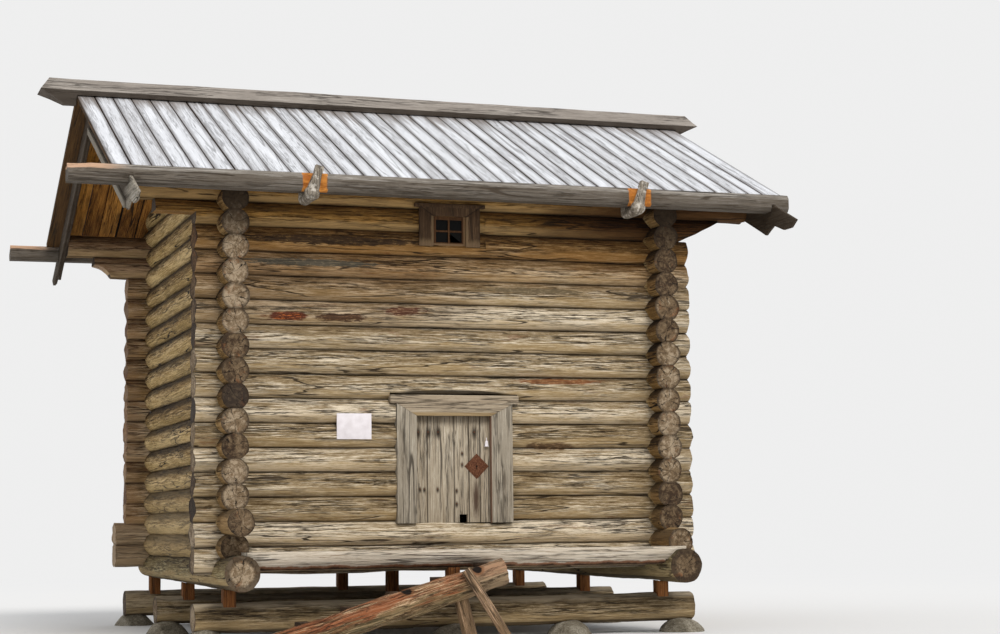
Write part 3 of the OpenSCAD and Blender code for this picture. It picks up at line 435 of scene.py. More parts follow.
def blank(name):
    stuff = bpy.data.materials.new(name)
    stuff.use_nodes = True
    tree = stuff.node_tree
    tree.nodes.clear()
    shader = tree.nodes.new("ShaderNodeBsdfPrincipled")
    out = tree.nodes.new("ShaderNodeOutputMaterial")
    tree.links.new(shader.outputs[0], out.inputs[0])
    return stuff, tree, shader


def axes(tree, turned=None, lying=False):
    """The three coordinates, turned to a sloping piece, or laid back from the way that a piece was turned."""
    where = place_of(tree)
    if turned:
        where = step("ShaderNodeMapping", {"Vector": where, "Rotation": turned},
                     vector_type="TEXTURE" if lying else "POINT")
    return parts(where)


def facing(tree):
    """The way that the surface looks, as three parts."""
    return parts(source(tree, "ShaderNodeTexCoord", "Normal"))


def finish_shader(shader, colour, rough, relief, depth):
    colour.to(shader.inputs["Base Color"])
    rough.to(shader.inputs["Roughness"])
    step("ShaderNodeBump", {"Height": relief, "Distance": depth, "Strength": 1.0}).to(shader.inputs["Normal"])
    shader.inputs["Specular IOR Level"].default_value = 0.25


def log_finish(name, runs, centre, lowest, seed, pale, mid, dark, stain, stains=0.5, checks=0.9,
               crown=(60, 46, 26), crowns=0.2, clean_lit_foot=(186, 158, 112), feet=0.5, course=COURSE, tint=None):
    """Finish for round logs that run along X or Y, stacked upwards from the height called lowest."""
    stuff, tree, shader = blank(name)
    x, y, z = axes(tree)
    long_way, deep_way = (x, y) if runs == "X" else (y, x)
    normal = facing(tree)
    end = abs(normal["XY".index(runs)]) > END_FACING
    # painted shade: log ends just under the eaves are darkened for the shade under the roof
    eave_shade = spread(z, 3.75, 4.3) * end * 0.85
    made = use_recipe(LOG_RECIPE, {
        "Along": long_way, "Depth": deep_way - centre, "Height": z - lowest, "End": end, "Seed": seed,
        "Course": course, "Pale": paint(*pale), "Mid": paint(*mid), "Dark": paint(*dark),
        "Stain": paint(*stain), "Crown": paint(*crown), "CleanLitFoot": paint(*clean_lit_foot), "Stains": stains,
        "Checks": checks, "Crowns": crowns, "Feet": feet, "EaveShade": eave_shade})
    colour = made["Color"]
    if tint:
        colour = tint((x, y, z), normal, colour)
    finish_shader(shader, colour, made["Roughness"], made["Relief"], LOG_RELIEF)
    return stuff


def board_finish(name, along, across, face, seed, pale, mid, dark, checks=0.8, knots=0.5, gain=1.0,
                 turned=None, lying=False, depth=0.006, width=None, own_from=None, tint=None):
    """Finish for boards and hewn timbers. along, across and face name the axes 0, 1 or 2.

    On thin sloping boards the face is left out, so that the grain doesn't change up the slope.
    """
    stuff, tree, shader = blank(name)
    way = axes(tree, turned, lying)
    own = 0.5
    if width:
        own = chance(calc("FLOOR", way[across] / width) + seed)
    if own_from:
        own = tag_of(tree, own_from)
    made = use_recipe(BOARD_RECIPE, {
        "Along": way[along], "Across": way[across], "Face": 0.0 if face is None else way[face],
        "Own": own, "Seed": seed, "Pale": paint(*pale), "Mid": paint(*mid), "Dark": paint(*dark),
        "Checks": checks, "Knots": knots, "Gain": gain})
    colour = made["Color"]
    if tint:
        colour = tint(way, facing(tree), colour)
    finish_shader(shader, colour, made["Roughness"], made["Relief"], depth)
    return stuff


# Modelling helpers

def only(*pieces):
    """Leaves just these pieces selected, with the first one active."""
    bpy.ops.object.select_all(action="DESELECT")
    for piece in pieces:
        piece.select_set(True)
    bpy.context.view_layer.objects.active = pieces[0]


def taken_from(node, name):
    """A new piece with a CAD node's solids, their loose triangles joined up."""
    piece = bpy.data.objects.new(name, nodes[node].data.copy())
    bpy.context.scene.collection.objects.link(piece)
    only(piece)
    bpy.ops.mesh.customdata_custom_splitnormals_clear()
    bpy.ops.object.mode_set(mode="EDIT")
    bpy.ops.mesh.select_all(action="SELECT")
    bpy.ops.mesh.remove_doubles(threshold=0.00005)
    bpy.ops.mesh.dissolve_limited(angle_limit=math.radians(0.5))
    bpy.ops.object.mode_set(mode="OBJECT")
    return piece


def ring_cuts(piece, way, gap):
    """Cuts rings round a long piece at even steps, so that its surface can wander between them."""
    way = Vector(way).normalized()
    reach = [way.dot(corner.co) for corner in piece.data.vertices]
    only(piece)
    bpy.ops.object.mode_set(mode="EDIT")
    for count in range(1, int((max(reach) - min(reach)) / gap) + 1):
        bpy.ops.mesh.select_all(action="SELECT")
        bpy.ops.mesh.bisect(plane_co=way * (min(reach) + count * gap), plane_no=way)
    bpy.ops.object.mode_set(mode="OBJECT")


def ripple(piece, size, depth, stretch=(1, 1, 1), direction="NORMAL", turned=(0, 0, 0), group="", middle=0.5):
    """Pushes the surface in and out by a cloud pattern, which may be drawn out along the grain.

    With its middle at 1 it only wears the surface down.
    """
    pattern = bpy.data.textures.new("ripple_pattern", "CLOUDS")
    pattern.noise_scale = size
    pattern.noise_depth = 3
    guide = bpy.data.objects.new("ripple_guide", None)
    guide.scale = stretch
    guide.rotation_euler = turned
    bpy.context.scene.collection.objects.link(guide)
    bpy.context.view_layer.update()
    push = piece.modifiers.new("ripple", "DISPLACE")
    push.texture = pattern
    push.texture_coords = "OBJECT"
    push.texture_coords_object = guide
    push.direction = direction
    push.strength = depth
    push.mid_level = middle
    push.vertex_group = group
    only(piece)
    bpy.ops.object.modifier_apply(modifier=push.name)
    bpy.data.objects.remove(guide)
    bpy.data.textures.remove(pattern)


def soft_edges(piece, width, segments=2):
    edge = piece.modifiers.new("soft_edges", "BEVEL")
    edge.width = width
    edge.segments = segments
    edge.limit_method = "ANGLE"
    edge.angle_limit = math.radians(40)
    only(piece)
    bpy.ops.object.modifier_apply(modifier=edge.name)


def flat_foot(piece):
    """Cuts a piece level just above the ground that it stands on."""
    only(piece)
    bpy.ops.object.mode_set(mode="EDIT")
    bpy.ops.mesh.select_all(action="SELECT")
    bpy.ops.mesh.bisect(plane_co=(0, 0, GROUND_PLAY), plane_no=(0, 0, 1), clear_inner=True, use_fill=True)
    bpy.ops.object.mode_set(mode="OBJECT")


def smooth(piece, angle=38):
    only(piece)
    bpy.ops.object.shade_smooth_by_angle(angle=math.radians(angle))


def joined(pieces):
    """Makes one piece of several."""
    only(*pieces)
    bpy.ops.object.join()
    return bpy.context.object


def coat(piece, *finishes):
    """Gives a piece its finishes, in place of those that it has."""
    piece.data.materials.clear()
    for finish in finishes:
        piece.data.materials.append(finish)


def fit_out(piece, stuff, *stands_for, body="building"):
    """Gives a piece its finish and body, and hides the CAD nodes that it stands for."""
    coat(piece, *(stuff if isinstance(stuff, tuple) else (stuff,)))
    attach(piece, body)
    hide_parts(*stands_for)


# Walls of round logs
WAY = {"X": (1, 0, 0), "Y": (0, 1, 0)}


def mark_ends(piece, runs):
    """Groups the log ends that stand out past the corners, so that their lengths can differ."""
    lane = "XY".index(runs)
    low, high = ((LEFT_X, RIGHT_X) if runs == "X" else (FRONT_Y, REAR_Y))
    group = piece.vertex_groups.new(name="ends")
    far = [corner.index for corner in piece.data.vertices
           if corner.co[lane] < low - PAST_CORNER or corner.co[lane] > high + PAST_CORNER]
    group.add(far, 1.0, "REPLACE")


def weathered_logs(node, runs, stuff, gap=0.14, wave=0.035, swell=0.026, ends=True):
    """Stands for a node of round logs, whose seams wander and whose surfaces swell and shrink."""
    piece = taken_from(node, node + "_weathered")
    ring_cuts(piece, WAY[runs], gap)
    drawn = (5, 1, 1) if runs == "X" else (1, 5, 1)
    if wave:
        ripple(piece, 0.9, wave, direction="Z")
    ripple(piece, 0.14, swell, stretch=drawn)
    ripple(piece, 0.05, 0.008, stretch=drawn)
    if ends:
        mark_ends(piece, runs)
        ripple(piece, 0.16, 0.055, stretch=drawn, direction=runs, group="ends")
        piece.vertex_groups.clear()
    smooth(piece)
    fit_out(piece, stuff, node)


front_tones = dict(pale=(226, 211, 186), mid=(147, 127, 95), dark=(74, 55, 27), stain=(112, 60, 36))
side_tones = dict(pale=(212, 184, 134), mid=(138, 110, 66), dark=(54, 36, 15), stain=(92, 56, 26))
eave_tones = dict(pale=(188, 142, 76), mid=(136, 98, 46), dark=(80, 54, 22), stain=(116, 62, 26))
rear_eave_tones = dict(pale=(182, 152, 120), mid=(128, 100, 72), dark=(72, 50, 32), stain=(96, 54, 34))


def blemish(place, x, z, half_long, half_high, torn, core=0.7):
    """A ragged spot round x and z, whatever the depth. It is full out to the core's share of its reach."""
    long_off = (place[0] - x) / half_long
    high_off = (place[2] - z) / half_high
    return spread(slant_length(long_off, high_off) + torn, 1.0, core)


def aged_front(place, normal, colour):
    """The top courses stay warm brown under the eaves, and a few logs have rotten or dark places. A
    near-black painted shadow marks the settling gap above the lintel.
    """
    torn = centred(cloud(pressed(place, 1.2, 0.0, 3.0)), 0.5)
    warm = spread(place[2] + torn, 3.30, 4.00, 0.0, 0.85)
    colour = glaze(warm, colour, paint(222, 180, 112))
    dim = spread(place[2] + torn * 0.5, 2.95, 3.25) * spread(place[2], 3.85, 3.65)
    colour = glaze(dim * spread(place[0], 0.6, -0.4), colour, paint(214, 203, 190))
    frayed = pressed(place, 7.0, 0.0, 45.0)
    edge = centred(cloud(frayed, detail=6.0, rough=0.7), 2.6)
    blotchy = spread(cloud(frayed, 2.0, detail=6.0, rough=0.7), 0.53, 0.59)
    for rot in FRONT_ROT:
        spot = blemish(place, rot["x"], rot["z"], rot["half_long"], rot["half_high"], edge)
        rotten = blend(blotchy, paint(*rot["core"]), paint(*rot["fringe"]))
        colour = blend(spot * 0.95, colour, rotten)
    # painted shadow: the settling gap above the lintel is painted near-black on the logs
    settling_gap_shadow = blemish(place, *SETTLING_GAP_SHADOW, 0.66, 0.036, 0.0)
    return blend(settling_gap_shadow * 0.9, colour, paint(20, 14, 9))


def shaded_rear(place, normal, colour):
    """The rear wall is browner than the front, and past its corners the logs differ by their course."""
    colour = glaze(0.35, colour, paint(240, 196, 130))
    out = spread(abs(place[0]), 2.30, 2.45)
    mixed = spread(cloud(pressed(place, 0.0, 0.0, 5.0), detail=2.0), 0.40, 0.60)
    stubs = blend(mixed, paint(150, 106, 72), paint(176, 146, 116))
    colour = blend(out * 0.30, colour, stubs)
    return blend(spread(place[2], 1.20, 1.12, 0.0, 0.45), colour, paint(178, 160, 134))


def paler_foot(place, normal, colour):
    """The side walls are washed paler in their lowest courses, and their logs are darker past the corners."""
    torn = centred(cloud(pressed(place, 0.0, 1.2, 2.0)), 0.8)
    low = spread(place[2] + torn, 1.9, 1.1, 0.0, 0.35)
    side = abs(normal[1]) < END_FACING
    colour = blend(low * side, colour, paint(190, 166, 124))
    out = spread(abs(place[1]), 2.30, 2.36)
    return glaze(out * side * 0.8, colour, paint(186, 168, 148))


def dark_right_end(place, normal, colour):
    """The top logs are dark brown towards the right corner and beyond it."""
    torn = centred(cloud(pressed(place, 1.2, 0.0, 3.0)), 1.6)
    amount = spread(place[0] + torn, 0.7, 1.9, 0.0, 0.95)
    return glaze(amount, colour, paint(120, 98, 76))


front_wear = dict(stains=0.35, crowns=0.10)
side_wear = dict(crowns=0.85, feet=0.30, checks=1.0, crown=(50, 36, 18), clean_lit_foot=(190, 162, 102))
front_logs = log_finish("front_logs", "X", FRONT_Y, ROW_Z, 3.0, **front_tones, **front_wear, tint=aged_front)
rear_logs = log_finish("rear_logs", "X", REAR_Y, ROW_Z, 61.0, **front_tones, **front_wear, tint=shaded_rear)
left_logs = log_finish("left_logs", "Y", LEFT_X, SIDE_Z, 17.0, **side_tones, **side_wear, tint=paler_foot)
right_logs = log_finish("right_logs", "Y", RIGHT_X, SIDE_Z, 29.0, **side_tones, **side_wear, tint=paler_foot)
front_eave_logs = log_finish("front_eave_logs", "X", FRONT_Y, ROW_Z, 7.0, **eave_tones, stains=0.4,
                             checks=0.8, tint=dark_right_end)
rear_eave_logs = log_finish("rear_eave_logs", "X", REAR_Y, ROW_Z, 9.0, **rear_eave_tones, stains=0.4,
                            checks=0.8)

for wall_part in ("front_wall_lower", "front_wall_left", "front_wall_right", "front_wall_upper"):
    weathered_logs(wall_part, "X", front_logs)
weathered_logs("rear_wall", "X", rear_logs)
weathered_logs("left_wall", "Y", left_logs)
weathered_logs("right_wall", "Y", right_logs)
for gable, gable_logs in (("left_gable", left_logs), ("right_gable", right_logs)):
    weathered_logs(gable, "Y", gable_logs, wave=0.0)
for top_log in ("front_bracket_log", "front_plate"):
    weathered_logs(top_log, "X", front_eave_logs, ends=False)
for top_log in ("rear_bracket_log", "rear_plate"):
    weathered_logs(top_log, "X", rear_eave_logs, ends=False)

cross_tones = dict(pale=(176, 162, 122), mid=(122, 106, 72), dark=(72, 56, 28), stain=(96, 84, 44))
for cross, centre in (("cross_log_left", LEFT_X), ("cross_log_right", RIGHT_X)):
    cross_wood = log_finish(cross + "_wood", "Y", centre, SIDE_Z, centre + 8, **cross_tones, course=1.0)
    weathered_logs(cross, "Y", cross_wood, wave=0.0, ends=False)


def bleached_back(place, normal, colour):
    """Rain and sun bleach the backs of the logs that lie lowest."""
    torn = centred(cloud(pressed(place, 3.0, 9.0, 0.0)), 0.7)
    upward = spread(normal[2] + torn, 0.45, 0.9, 0.0, 0.6)
    return blend(upward, colour, paint(188, 172, 146))


sleeper_tones = dict(pale=(190, 170, 138), mid=(118, 100, 72), dark=(62, 48, 28), stain=(74, 66, 38))
for sleeper, centre in (("sleeper_front", FRONT_Y), ("sleeper_middle", 0.0), ("sleeper_rear", REAR_Y)):
    sleeper_wood = log_finish(sleeper + "_wood", "X", centre, SLEEPER_Z, centre + 11, **sleeper_tones,
                              course=1.0, tint=bleached_back)
    weathered_logs(sleeper, "X", sleeper_wood, wave=0.02, ends=False)
bearer_wood = log_finish("floor_bearer_wood", "Y", BEARER_X, BEARER_Z, 51.0, **side_tones, course=1.0)
coat(nodes["floor_bearer"], bearer_wood)
purlin_wood = log_finish("purlin_wood", "X", 0.0, PURLIN_Z, 71.0, **eave_tones, course=2.0, checks=0.4)
weathered_logs("purlins", "X", purlin_wood, wave=0.0, ends=False)


# Roof boards, one by one
def board_widths(total, mean, rng):
    """Widths that vary from board to board and fill the whole length."""
    count = round(total / mean)
    shares = [rng.uniform(0.86, 1.14) for _ in range(count)]
    return [share * total / sum(shares) for share in shares]


def roof_board(x, wide, low, high, rng, shade):
    """A board that lies flat, before it is turned up to the slope. It carries its own tone for the finish."""
    bpy.ops.object.select_all(action="DESELECT")
    bpy.ops.mesh.primitive_cube_add(size=1, location=(0, 0, 0))
    board = bpy.context.object
    long = high - low
    board.scale = (wide, long, BOARD_T - 0.004)
    board.location = (x + wide / 2, (low + high) / 2, 0)
    bpy.ops.object.transform_apply(location=True, rotation=False, scale=True)
    bpy.ops.object.mode_set(mode="EDIT")
    for count in range(1, BOARD_PARTS):
        bpy.ops.mesh.select_all(action="SELECT")
        bpy.ops.mesh.bisect(plane_co=(0, low + long * count / BOARD_PARTS, 0), plane_no=(0, 1, 0))
    bpy.ops.object.mode_set(mode="OBJECT")
    tag = board.data.attributes.new("own_tone", "FLOAT", "POINT")
    edge = board.data.attributes.new("edge_near", "FLOAT", "POINT")
    lean = rng.uniform(-0.0015, 0.0015)
    for corner, item, near in zip(board.data.vertices, tag.data, edge.data):
        item.value = shade
        near.value = (corner.co.x - x - wide / 2) / wide * 2
        corner.co.z += near.value * lean
    return board


def roof_slope(name, node, facing_rear, seed):
    """Two layers of boards: pale ones on top, and brown ones whose joints show from below."""
    rng = random.Random(seed)
    run = (EAVE_Y - 0.002) / math.cos(PITCH)
    total = VERGE_RIGHT - VERGE_LEFT
    layers = []
    for on_top, gap, mean in ((True, UPPER_JOINT, UPPER_WIDTH), (False, LOWER_JOINT, LOWER_WIDTH)):
        x = VERGE_LEFT
        boards = []
        for wide in board_widths(total, mean, rng):
            joint = rng.uniform(0.5, 1.6) * gap
            last = x + wide > VERGE_RIGHT - 0.01
            right = wide if last else wide - joint
            boards.append(roof_board(x, right, rng.uniform(0.0, 0.006), run, rng, rng.random()))
            x += wide
        layer = joined(boards)
        soft_edges(layer, 0.004, 1)
        height = -BOARD_T / 2 if on_top else -BOARD_T * 1.5
        layer.data.transform(Matrix.Translation((0, 0, height)))
        coat(layer, roof_wood if on_top else soffit_wood)
        layers.append(layer)
    piece = joined(layers)
    piece.name = name
    piece.data.transform(Matrix.Rotation(PITCH, 4, "X"))
    piece.data.transform(Matrix.Translation((0, -EAVE_Y, EAVE_Z)))
    if facing_rear:
        piece.data.transform(Matrix.Rotation(math.pi, 4, "Z"))
        piece.data.transform(Matrix.Translation((VERGE_LEFT + VERGE_RIGHT, 0, 0)))
    smooth(piece, 30)
    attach(piece, "building")
    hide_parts(node)


def bleached(way, normal, colour):
    """Silvery boards, shaded beside their joints and brown-grey in a ragged band under the ridge; where they
    look down they are painted near-black as shade.
    """
    near = abs(tag_of(colour.tree, "edge_near"))
    soft = centred(cloud(pressed(way, 30.0, 1.0, 0.0)), 0.9)
    beside = spread(near + soft, 0.45, 0.95, 0.0, 0.70)
    colour = blend(beside, colour, paint(112, 108, 108))
    up = EAVE_Y - abs(way[1])
    own = tag_of(colour.tree, "own_tone")
    along = cloud(pressed((way[0], up, way[2]), 30.0, 1.2, 0.0))
    ragged = centred(own, 0.5) + centred(along, 1.6)
    top = spread(up + ragged, 2.15, 2.85, 0.0, 0.75)
    colour = blend(top, colour, paint(104, 92, 82))
    cut = spread(abs(normal[0]), 0.5, 0.9)
    colour = blend(cut, colour, paint(66, 52, 38))
    # painted shade: faces that look down are painted near-black
    return blend(spread(normal[2], 0.0, -0.5), colour, paint(34, 25, 16))


def darker_verge(way, normal, colour):
    """The lower boards are brown; outside the rake they are darkest, partly their own dark planks and partly
    painted shade under the verge.
    """
    off = abs(way[0] - (VERGE_LEFT + VERGE_RIGHT) / 2)
    rake = (VERGE_RIGHT - VERGE_LEFT) / 2 - 0.14
    # partly painted shade: outside the rake the boards are darkened for the shade under the verge, besides
    # their own dark colour
    verge_shade = spread(off, rake - 0.05, rake, 0.0, 0.85)
    return blend(verge_shade, colour, paint(54, 42, 28))


roof_wood = board_finish("roof_wood", 1, 0, None, 2.0, pale=(236, 238, 243), mid=(210, 212, 217),
                         dark=(156, 154, 155), checks=0.50, knots=0.0, gain=0.95, own_from="own_tone",
                         tint=bleached)
soffit_wood = board_finish("soffit_wood", 1, 0, None, 4.0, pale=(232, 168, 80), mid=(176, 120, 54),
                           dark=(84, 50, 18), checks=0.9, knots=0.4, gain=1.4, own_from="own_tone",
                           tint=darker_verge)
roof_slope("roof_boards_front", "roof_front", False, 5)
roof_slope("roof_boards_rear", "roof_rear", True, 6)


# Hewn timbers
def hewn(node, way, stuff, gap=0.12, waves=((0.5, 0.016), (0.10, 0.010)), drawn=(4, 1, 1), edge=0.0,
         turned=(0, 0, 0), middle=0.5):
    """Stands for a hewn or split timber, whose faces undulate where the axe went."""
    piece = taken_from(node, node + "_hewn")
    if edge:
        soft_edges(piece, edge)
    ring_cuts(piece, way, gap)
    for size, depth in waves:
        ripple(piece, size, depth, stretch=drawn, turned=turned, middle=middle)
    smooth(piece)
    fit_out(piece, stuff, node)
    return piece


def lit_from_above(way, normal, colour):
    """The ridge log keeps its bleached grey where it looks up, and is painted darker where it looks down, as
    painted shade.
    """
    torn = centred(cloud(pressed(way, 1.5, 20.0, 1.0)), 0.3)
    # painted shade: faces that look down are darkened
    low = spread(normal[2] + torn, 0.15, -0.25, 0.0, 0.85)
    return blend(low, colour, paint(84, 74, 64))


def gutter_faces(way, normal, colour):
    """A paler band along the lip, a dark face below it and fresh wood in the hewn hollows."""
    torn = centred(cloud(pressed(way, 4.0, 0.0, 14.0), detail=6.0), 0.05)
    band = spread(way[2] + torn, GUTTER_TOP - 0.060, GUTTER_TOP - 0.048)
    colour = blend((1.0 - band) * 0.60, colour, paint(70, 58, 44))
    tip = spread(way[0], -3.2, -3.6)
    colour = blend(band * tip * 0.7, colour, paint(212, 168, 134))
    deep = abs(way[1])
    sunk = spread(deep, GUTTER_FACE - 0.006, GUTTER_FACE - 0.016) * (deep > GUTTER_FACE - 0.075)
    fresh = 0.0
    for place in HOOK_PLACES:
        off = abs(way[0] - (place + HOLLOW_SHIFT))
        fresh = fresh + (off < HOLLOW_HALF)
    streaky = blend(spread(torn, -0.008, 0.008), paint(222, 146, 62), paint(182, 102, 34))
    return blend(sunk * fresh * 0.9, colour, streaky)


grey_tones = dict(pale=(180, 175, 168), mid=(130, 123, 114), dark=(68, 60, 50))
ridge_wood = board_finish("ridge_wood", 0, 1, 2, 5.0, pale=(186, 180, 172), mid=(142, 134, 126),
                          dark=(92, 84, 76), gain=0.9, knots=0.2, tint=lit_from_above)
hewn("ridge_log", (1, 0, 0), ridge_wood, middle=1.0)
gutter_wood = board_finish("gutter_wood", 0, 1, 2, 6.0, **grey_tones, gain=1.2, knots=0.3, depth=0.010,
                           tint=gutter_faces)
for gutter in ("gutter_front", "gutter_rear"):
    hewn(gutter, (1, 0, 0), gutter_wood, waves=((0.6, 0.010), (0.12, 0.003)), middle=0.9)


def mottled(way, normal, colour):
    """Peeled root wood: grey with whitish patches."""
    patch = cloud(place_of(colour.tree), scale=16.0, detail=6.0, rough=0.7)
    colour = blend(spread(patch, 0.52, 0.62, 0.0, 0.8), colour, paint(206, 198, 186))
    return blend(spread(patch, 0.42, 0.34, 0.0, 0.7), colour, paint(74, 62, 48))


hook_wood = board_finish("hook_wood", 2, 0, 1, 8.0, pale=(186, 178, 166), mid=(132, 122, 108),
                         dark=(76, 64, 50), tint=mottled)
for hooks in ("hooks_front", "hooks_rear"):
    hewn(hooks, (0, 1, 0), hook_wood, waves=((0.10, 0.014),), drawn=(1, 1, 1))


def rake_faces(way, normal, colour):
    """Silver-grey at the lower ends, and painted dark brown further up as shade under the verge, with a paler
    batten along the edge.
    """
    out = way[1] * -1.0
    torn = centred(cloud(pressed(way, 0.0, 2.0, 14.0)), 0.5)
    lit = spread(out + torn, 2.5, 3.0) * (way[0] < 0.0)
    # painted shade: away from the lit lower front ends the boards are darkened
    colour = blend(0.92 - lit * 0.92, colour, paint(56, 43, 29))
    batten = abs(way[0] - (LEFT_X + RIGHT_X) / 2) > BATTEN_LINE
    front = batten * (out > 0.0) * 0.5
    return blend(front, colour, paint(176, 168, 154))


rake_wood = board_finish("rake_wood", 1, 2, 0, 12.0, pale=(196, 190, 180), mid=(142, 134, 120),
                         dark=(70, 60, 46), gain=1.2, knots=0.3, tint=rake_faces)
for rake in ("rakes_left", "rakes_right"):
    hewn(rake, (0, 1, 0), rake_wood, gap=0.2, waves=((0.12, 0.006),), drawn=(1, 4, 1), edge=0.004)


def split_face(way, normal, colour):
    """The landing slab: a bleached face with a torn lower edge, red-brown and dark below it."""
    torn = centred(cloud(pressed(way, 3.5, 0.0, 4.0), detail=7.0, rough=0.7), 0.10)
    height = way[2] + torn
    red = spread(height, SLAB_LOW + 0.045, SLAB_LOW + 0.030, 0.0, 0.85)
    dark = spread(height, SLAB_LOW + 0.026, SLAB_LOW + 0.008, 0.0, 0.85)
    return blend(dark, blend(red, colour, paint(132, 78, 40)), paint(40, 29, 17))


slab_wood = board_finish("slab_wood", 0, 1, 2, 21.0, pale=(244, 236, 222), mid=(204, 191, 172),
                         dark=(124, 104, 80), gain=1.1, knots=0.2, tint=split_face, depth=0.01)
hewn("landing_slab", (1, 0, 0), slab_wood, waves=((0.4, 0.014), (0.08, 0.010)))


def worn_back(way, normal, colour):
    """The stair's logs are reddish above and grey-green below, and worn pale at the head."""
    torn = cloud(pressed(way, 1.6, 14.0, 14.0), detail=6.0, rough=0.7)
    low = spread(normal[2] + centred(torn, 1.2), 0.25, -0.25, 0.0, 0.75)
    red = blend(spread(torn, 0.42, 0.56, 0.0, 0.75), colour, paint(150, 84, 50))
    green = blend(0.6, colour, paint(142, 130, 92))
    colour = blend(low, red, green)
    head = spread(way[0] + centred(torn, 0.3), 0.0, 0.2, 0.0, 0.5)
    colour = blend(head, colour, paint(186, 160, 130))
    blot = cloud(pressed(way, 4.0, 26.0, 26.0), detail=8.0, rough=0.75, warp=0.5)
    colour = blend(spread(blot, 0.50, 0.60, 0.0, 0.8), colour, paint(54, 35, 20))
    place = axes(colour.tree)
    ragged = centred(blot, 0.8)
    for x, z in KNOT_HOLES:
        around = blemish(place, x, z, 0.080, 0.068, ragged)
        # painted shade: the hollow of each knot hole is near-black
        hole_shade = blemish(place, x, z, 0.052, 0.042, ragged)
        colour = blend(around * 0.7, colour, paint(126, 82, 50))
        colour = blend(hole_shade, colour, paint(24, 15, 9))
    return colour


stair_wood = board_finish("stair_wood", 0, 1, 2, 23.0, pale=(216, 186, 150), mid=(132, 100, 68),
                          dark=(48, 30, 14), turned=(0, STAIR_SLOPE, 0), knots=0.9, gain=1.8, checks=1.0,
                          depth=0.020, tint=worn_back)
uphill = (math.cos(STAIR_SLOPE), 0, math.sin(STAIR_SLOPE))
stair = hewn("stair_logs", uphill, stair_wood, gap=0.04, waves=((0.35, 0.036), (0.09, 0.032), (0.04, 0.012)),
             turned=(0, -STAIR_SLOPE, 0))
flat_foot(stair)
smooth(stair)
tread_wood = board_finish("tread_wood", 1, 0, 2, 24.0, pale=(112, 92, 70), mid=(74, 57, 42),
                          dark=(34, 24, 16))
hewn("stair_treads", (0, 1, 0), tread_wood, gap=0.05, waves=((0.06, 0.012),), drawn=(1, 2, 1), edge=0.010)
leg_tones = dict(pale=(214, 178, 146), mid=(134, 108, 80), dark=(54, 40, 24))
legs = taken_from("stair_legs", "stair_legs_split")
ring_cuts(legs, (0, 0, 1), 0.06)
ripple(legs, 0.14, 0.010, stretch=(1, 1, 4))
flat_foot(legs)
smooth(legs)
leg_woods = []
for leg, turned in (("front", FRONT_LEG_TURN), ("rear", REAR_LEG_TURN)):
    leg_woods.append(board_finish(leg + "_leg_wood", 2, 0, 1, 26.0, **leg_tones, gain=1.2, turned=turned,
                                  lying=True))
fit_out(legs, tuple(leg_woods), "stair_legs")
for face in legs.data.polygons:
    face.material_index = 0 if face.center.y < LEG_SPLIT_Y else 1
post_wood = board_finish("post_wood", 2, 0, 1, 27.0, pale=(172, 122, 74), mid=(124, 76, 38),
                         dark=(62, 34, 16), gain=1.2)
for post in ("posts_front", "posts_middle", "posts_rear"):
    hewn(post, (0, 0, 1), post_wood, gap=0.08, waves=((0.10, 0.008),), drawn=(1, 1, 3), edge=0.006)


# Door, window and small things
def framed(node, stuff, edge, body="building"):
    """Stands for a planed piece of the door or the window, whose edges are worn round."""
    piece = taken_from(node, node + "_worn")
    soft_edges(piece, edge)
    smooth(piece)
    fit_out(piece, stuff, node, body=body)


def stained_posts(way, normal, colour):
    """The right post is reddish where it faces the leaf."""
    inner = (normal[0] < -0.5) * (way[0] > 0.3)
    return blend(inner * 0.6, colour, paint(128, 78, 52))


frame_tones = dict(pale=(188, 179, 163), mid=(146, 136, 120), dark=(92, 80, 64))
door_post_wood = board_finish("door_post_wood", 2, 0, 1, 14.0, **frame_tones, tint=stained_posts)
framed("door_posts", door_post_wood, 0.006)


def stained_lintel(way, normal, colour):
    """A yellowish strip along the lintel's lower edge."""
    strip = spread(way[2], LINTEL_LOW + 0.015, LINTEL_LOW, 0.0, 0.6)
    return blend(strip, colour, paint(150, 122, 74))


lintel_wood = board_finish("door_lintel_wood", 0, 2, 1, 15.0, pale=(196, 182, 160), mid=(160, 144, 122),
                           dark=(100, 84, 64), tint=stained_lintel)
framed("door_lintel", lintel_wood, 0.006)


def stained_leaf(way, normal, colour):
    """Dark joints, rust that runs down from the nails, and a dark smear under the lock plate."""
    edge = centred(cloud(pressed(way, 60.0, 0.0, 9.0), detail=5.0, rough=0.7), 1.6)
    for x in LEAF_JOINTS:
        joint = spread(abs(way[0] - x), 0.009, 0.003, 0.0, 0.85)
        colour = blend(joint, colour, paint(44, 34, 24))
    soft_edge = edge * 0.5
    for row, half_wide, half_high in ((TOP_NAILS, 0.046, 0.100), (PATCH_NAILS + LOW_NAILS, 0.026, 0.046)):
        for x, z in row:
            spot = blemish(way, x, z - 0.01, half_wide, half_high, soft_edge, core=0.1)
            colour = blend(spot * 0.95, colour, paint(42, 32, 23))
    # painted shade: the keyhole is a near-black spot
    keyhole_shade = blemish(way, *KEYHOLE, 0.030, 0.050, 0.0)
    colour = blend(keyhole_shade, colour, paint(12, 9, 7))
    smear = blemish(way, *KEY_SMEAR, 0.050, 0.28, soft_edge, core=0.2)
    colour = blend(smear * 0.9, colour, paint(60, 38, 26))
    top = spread(way[2] + edge * 0.06, 2.06, 2.19, 0.0, 0.45)
    return blend(top, colour, paint(74, 60, 44))


leaf_wood = board_finish("leaf_wood", 2, 0, 1, 16.0, pale=(204, 193, 174), mid=(162, 149, 129),
                         dark=(104, 88, 66), gain=1.15, tint=stained_leaf)
framed("door_leaf", leaf_wood, 0.003, body="door")
framed("door_battens", leaf_wood, 0.006, body="door")


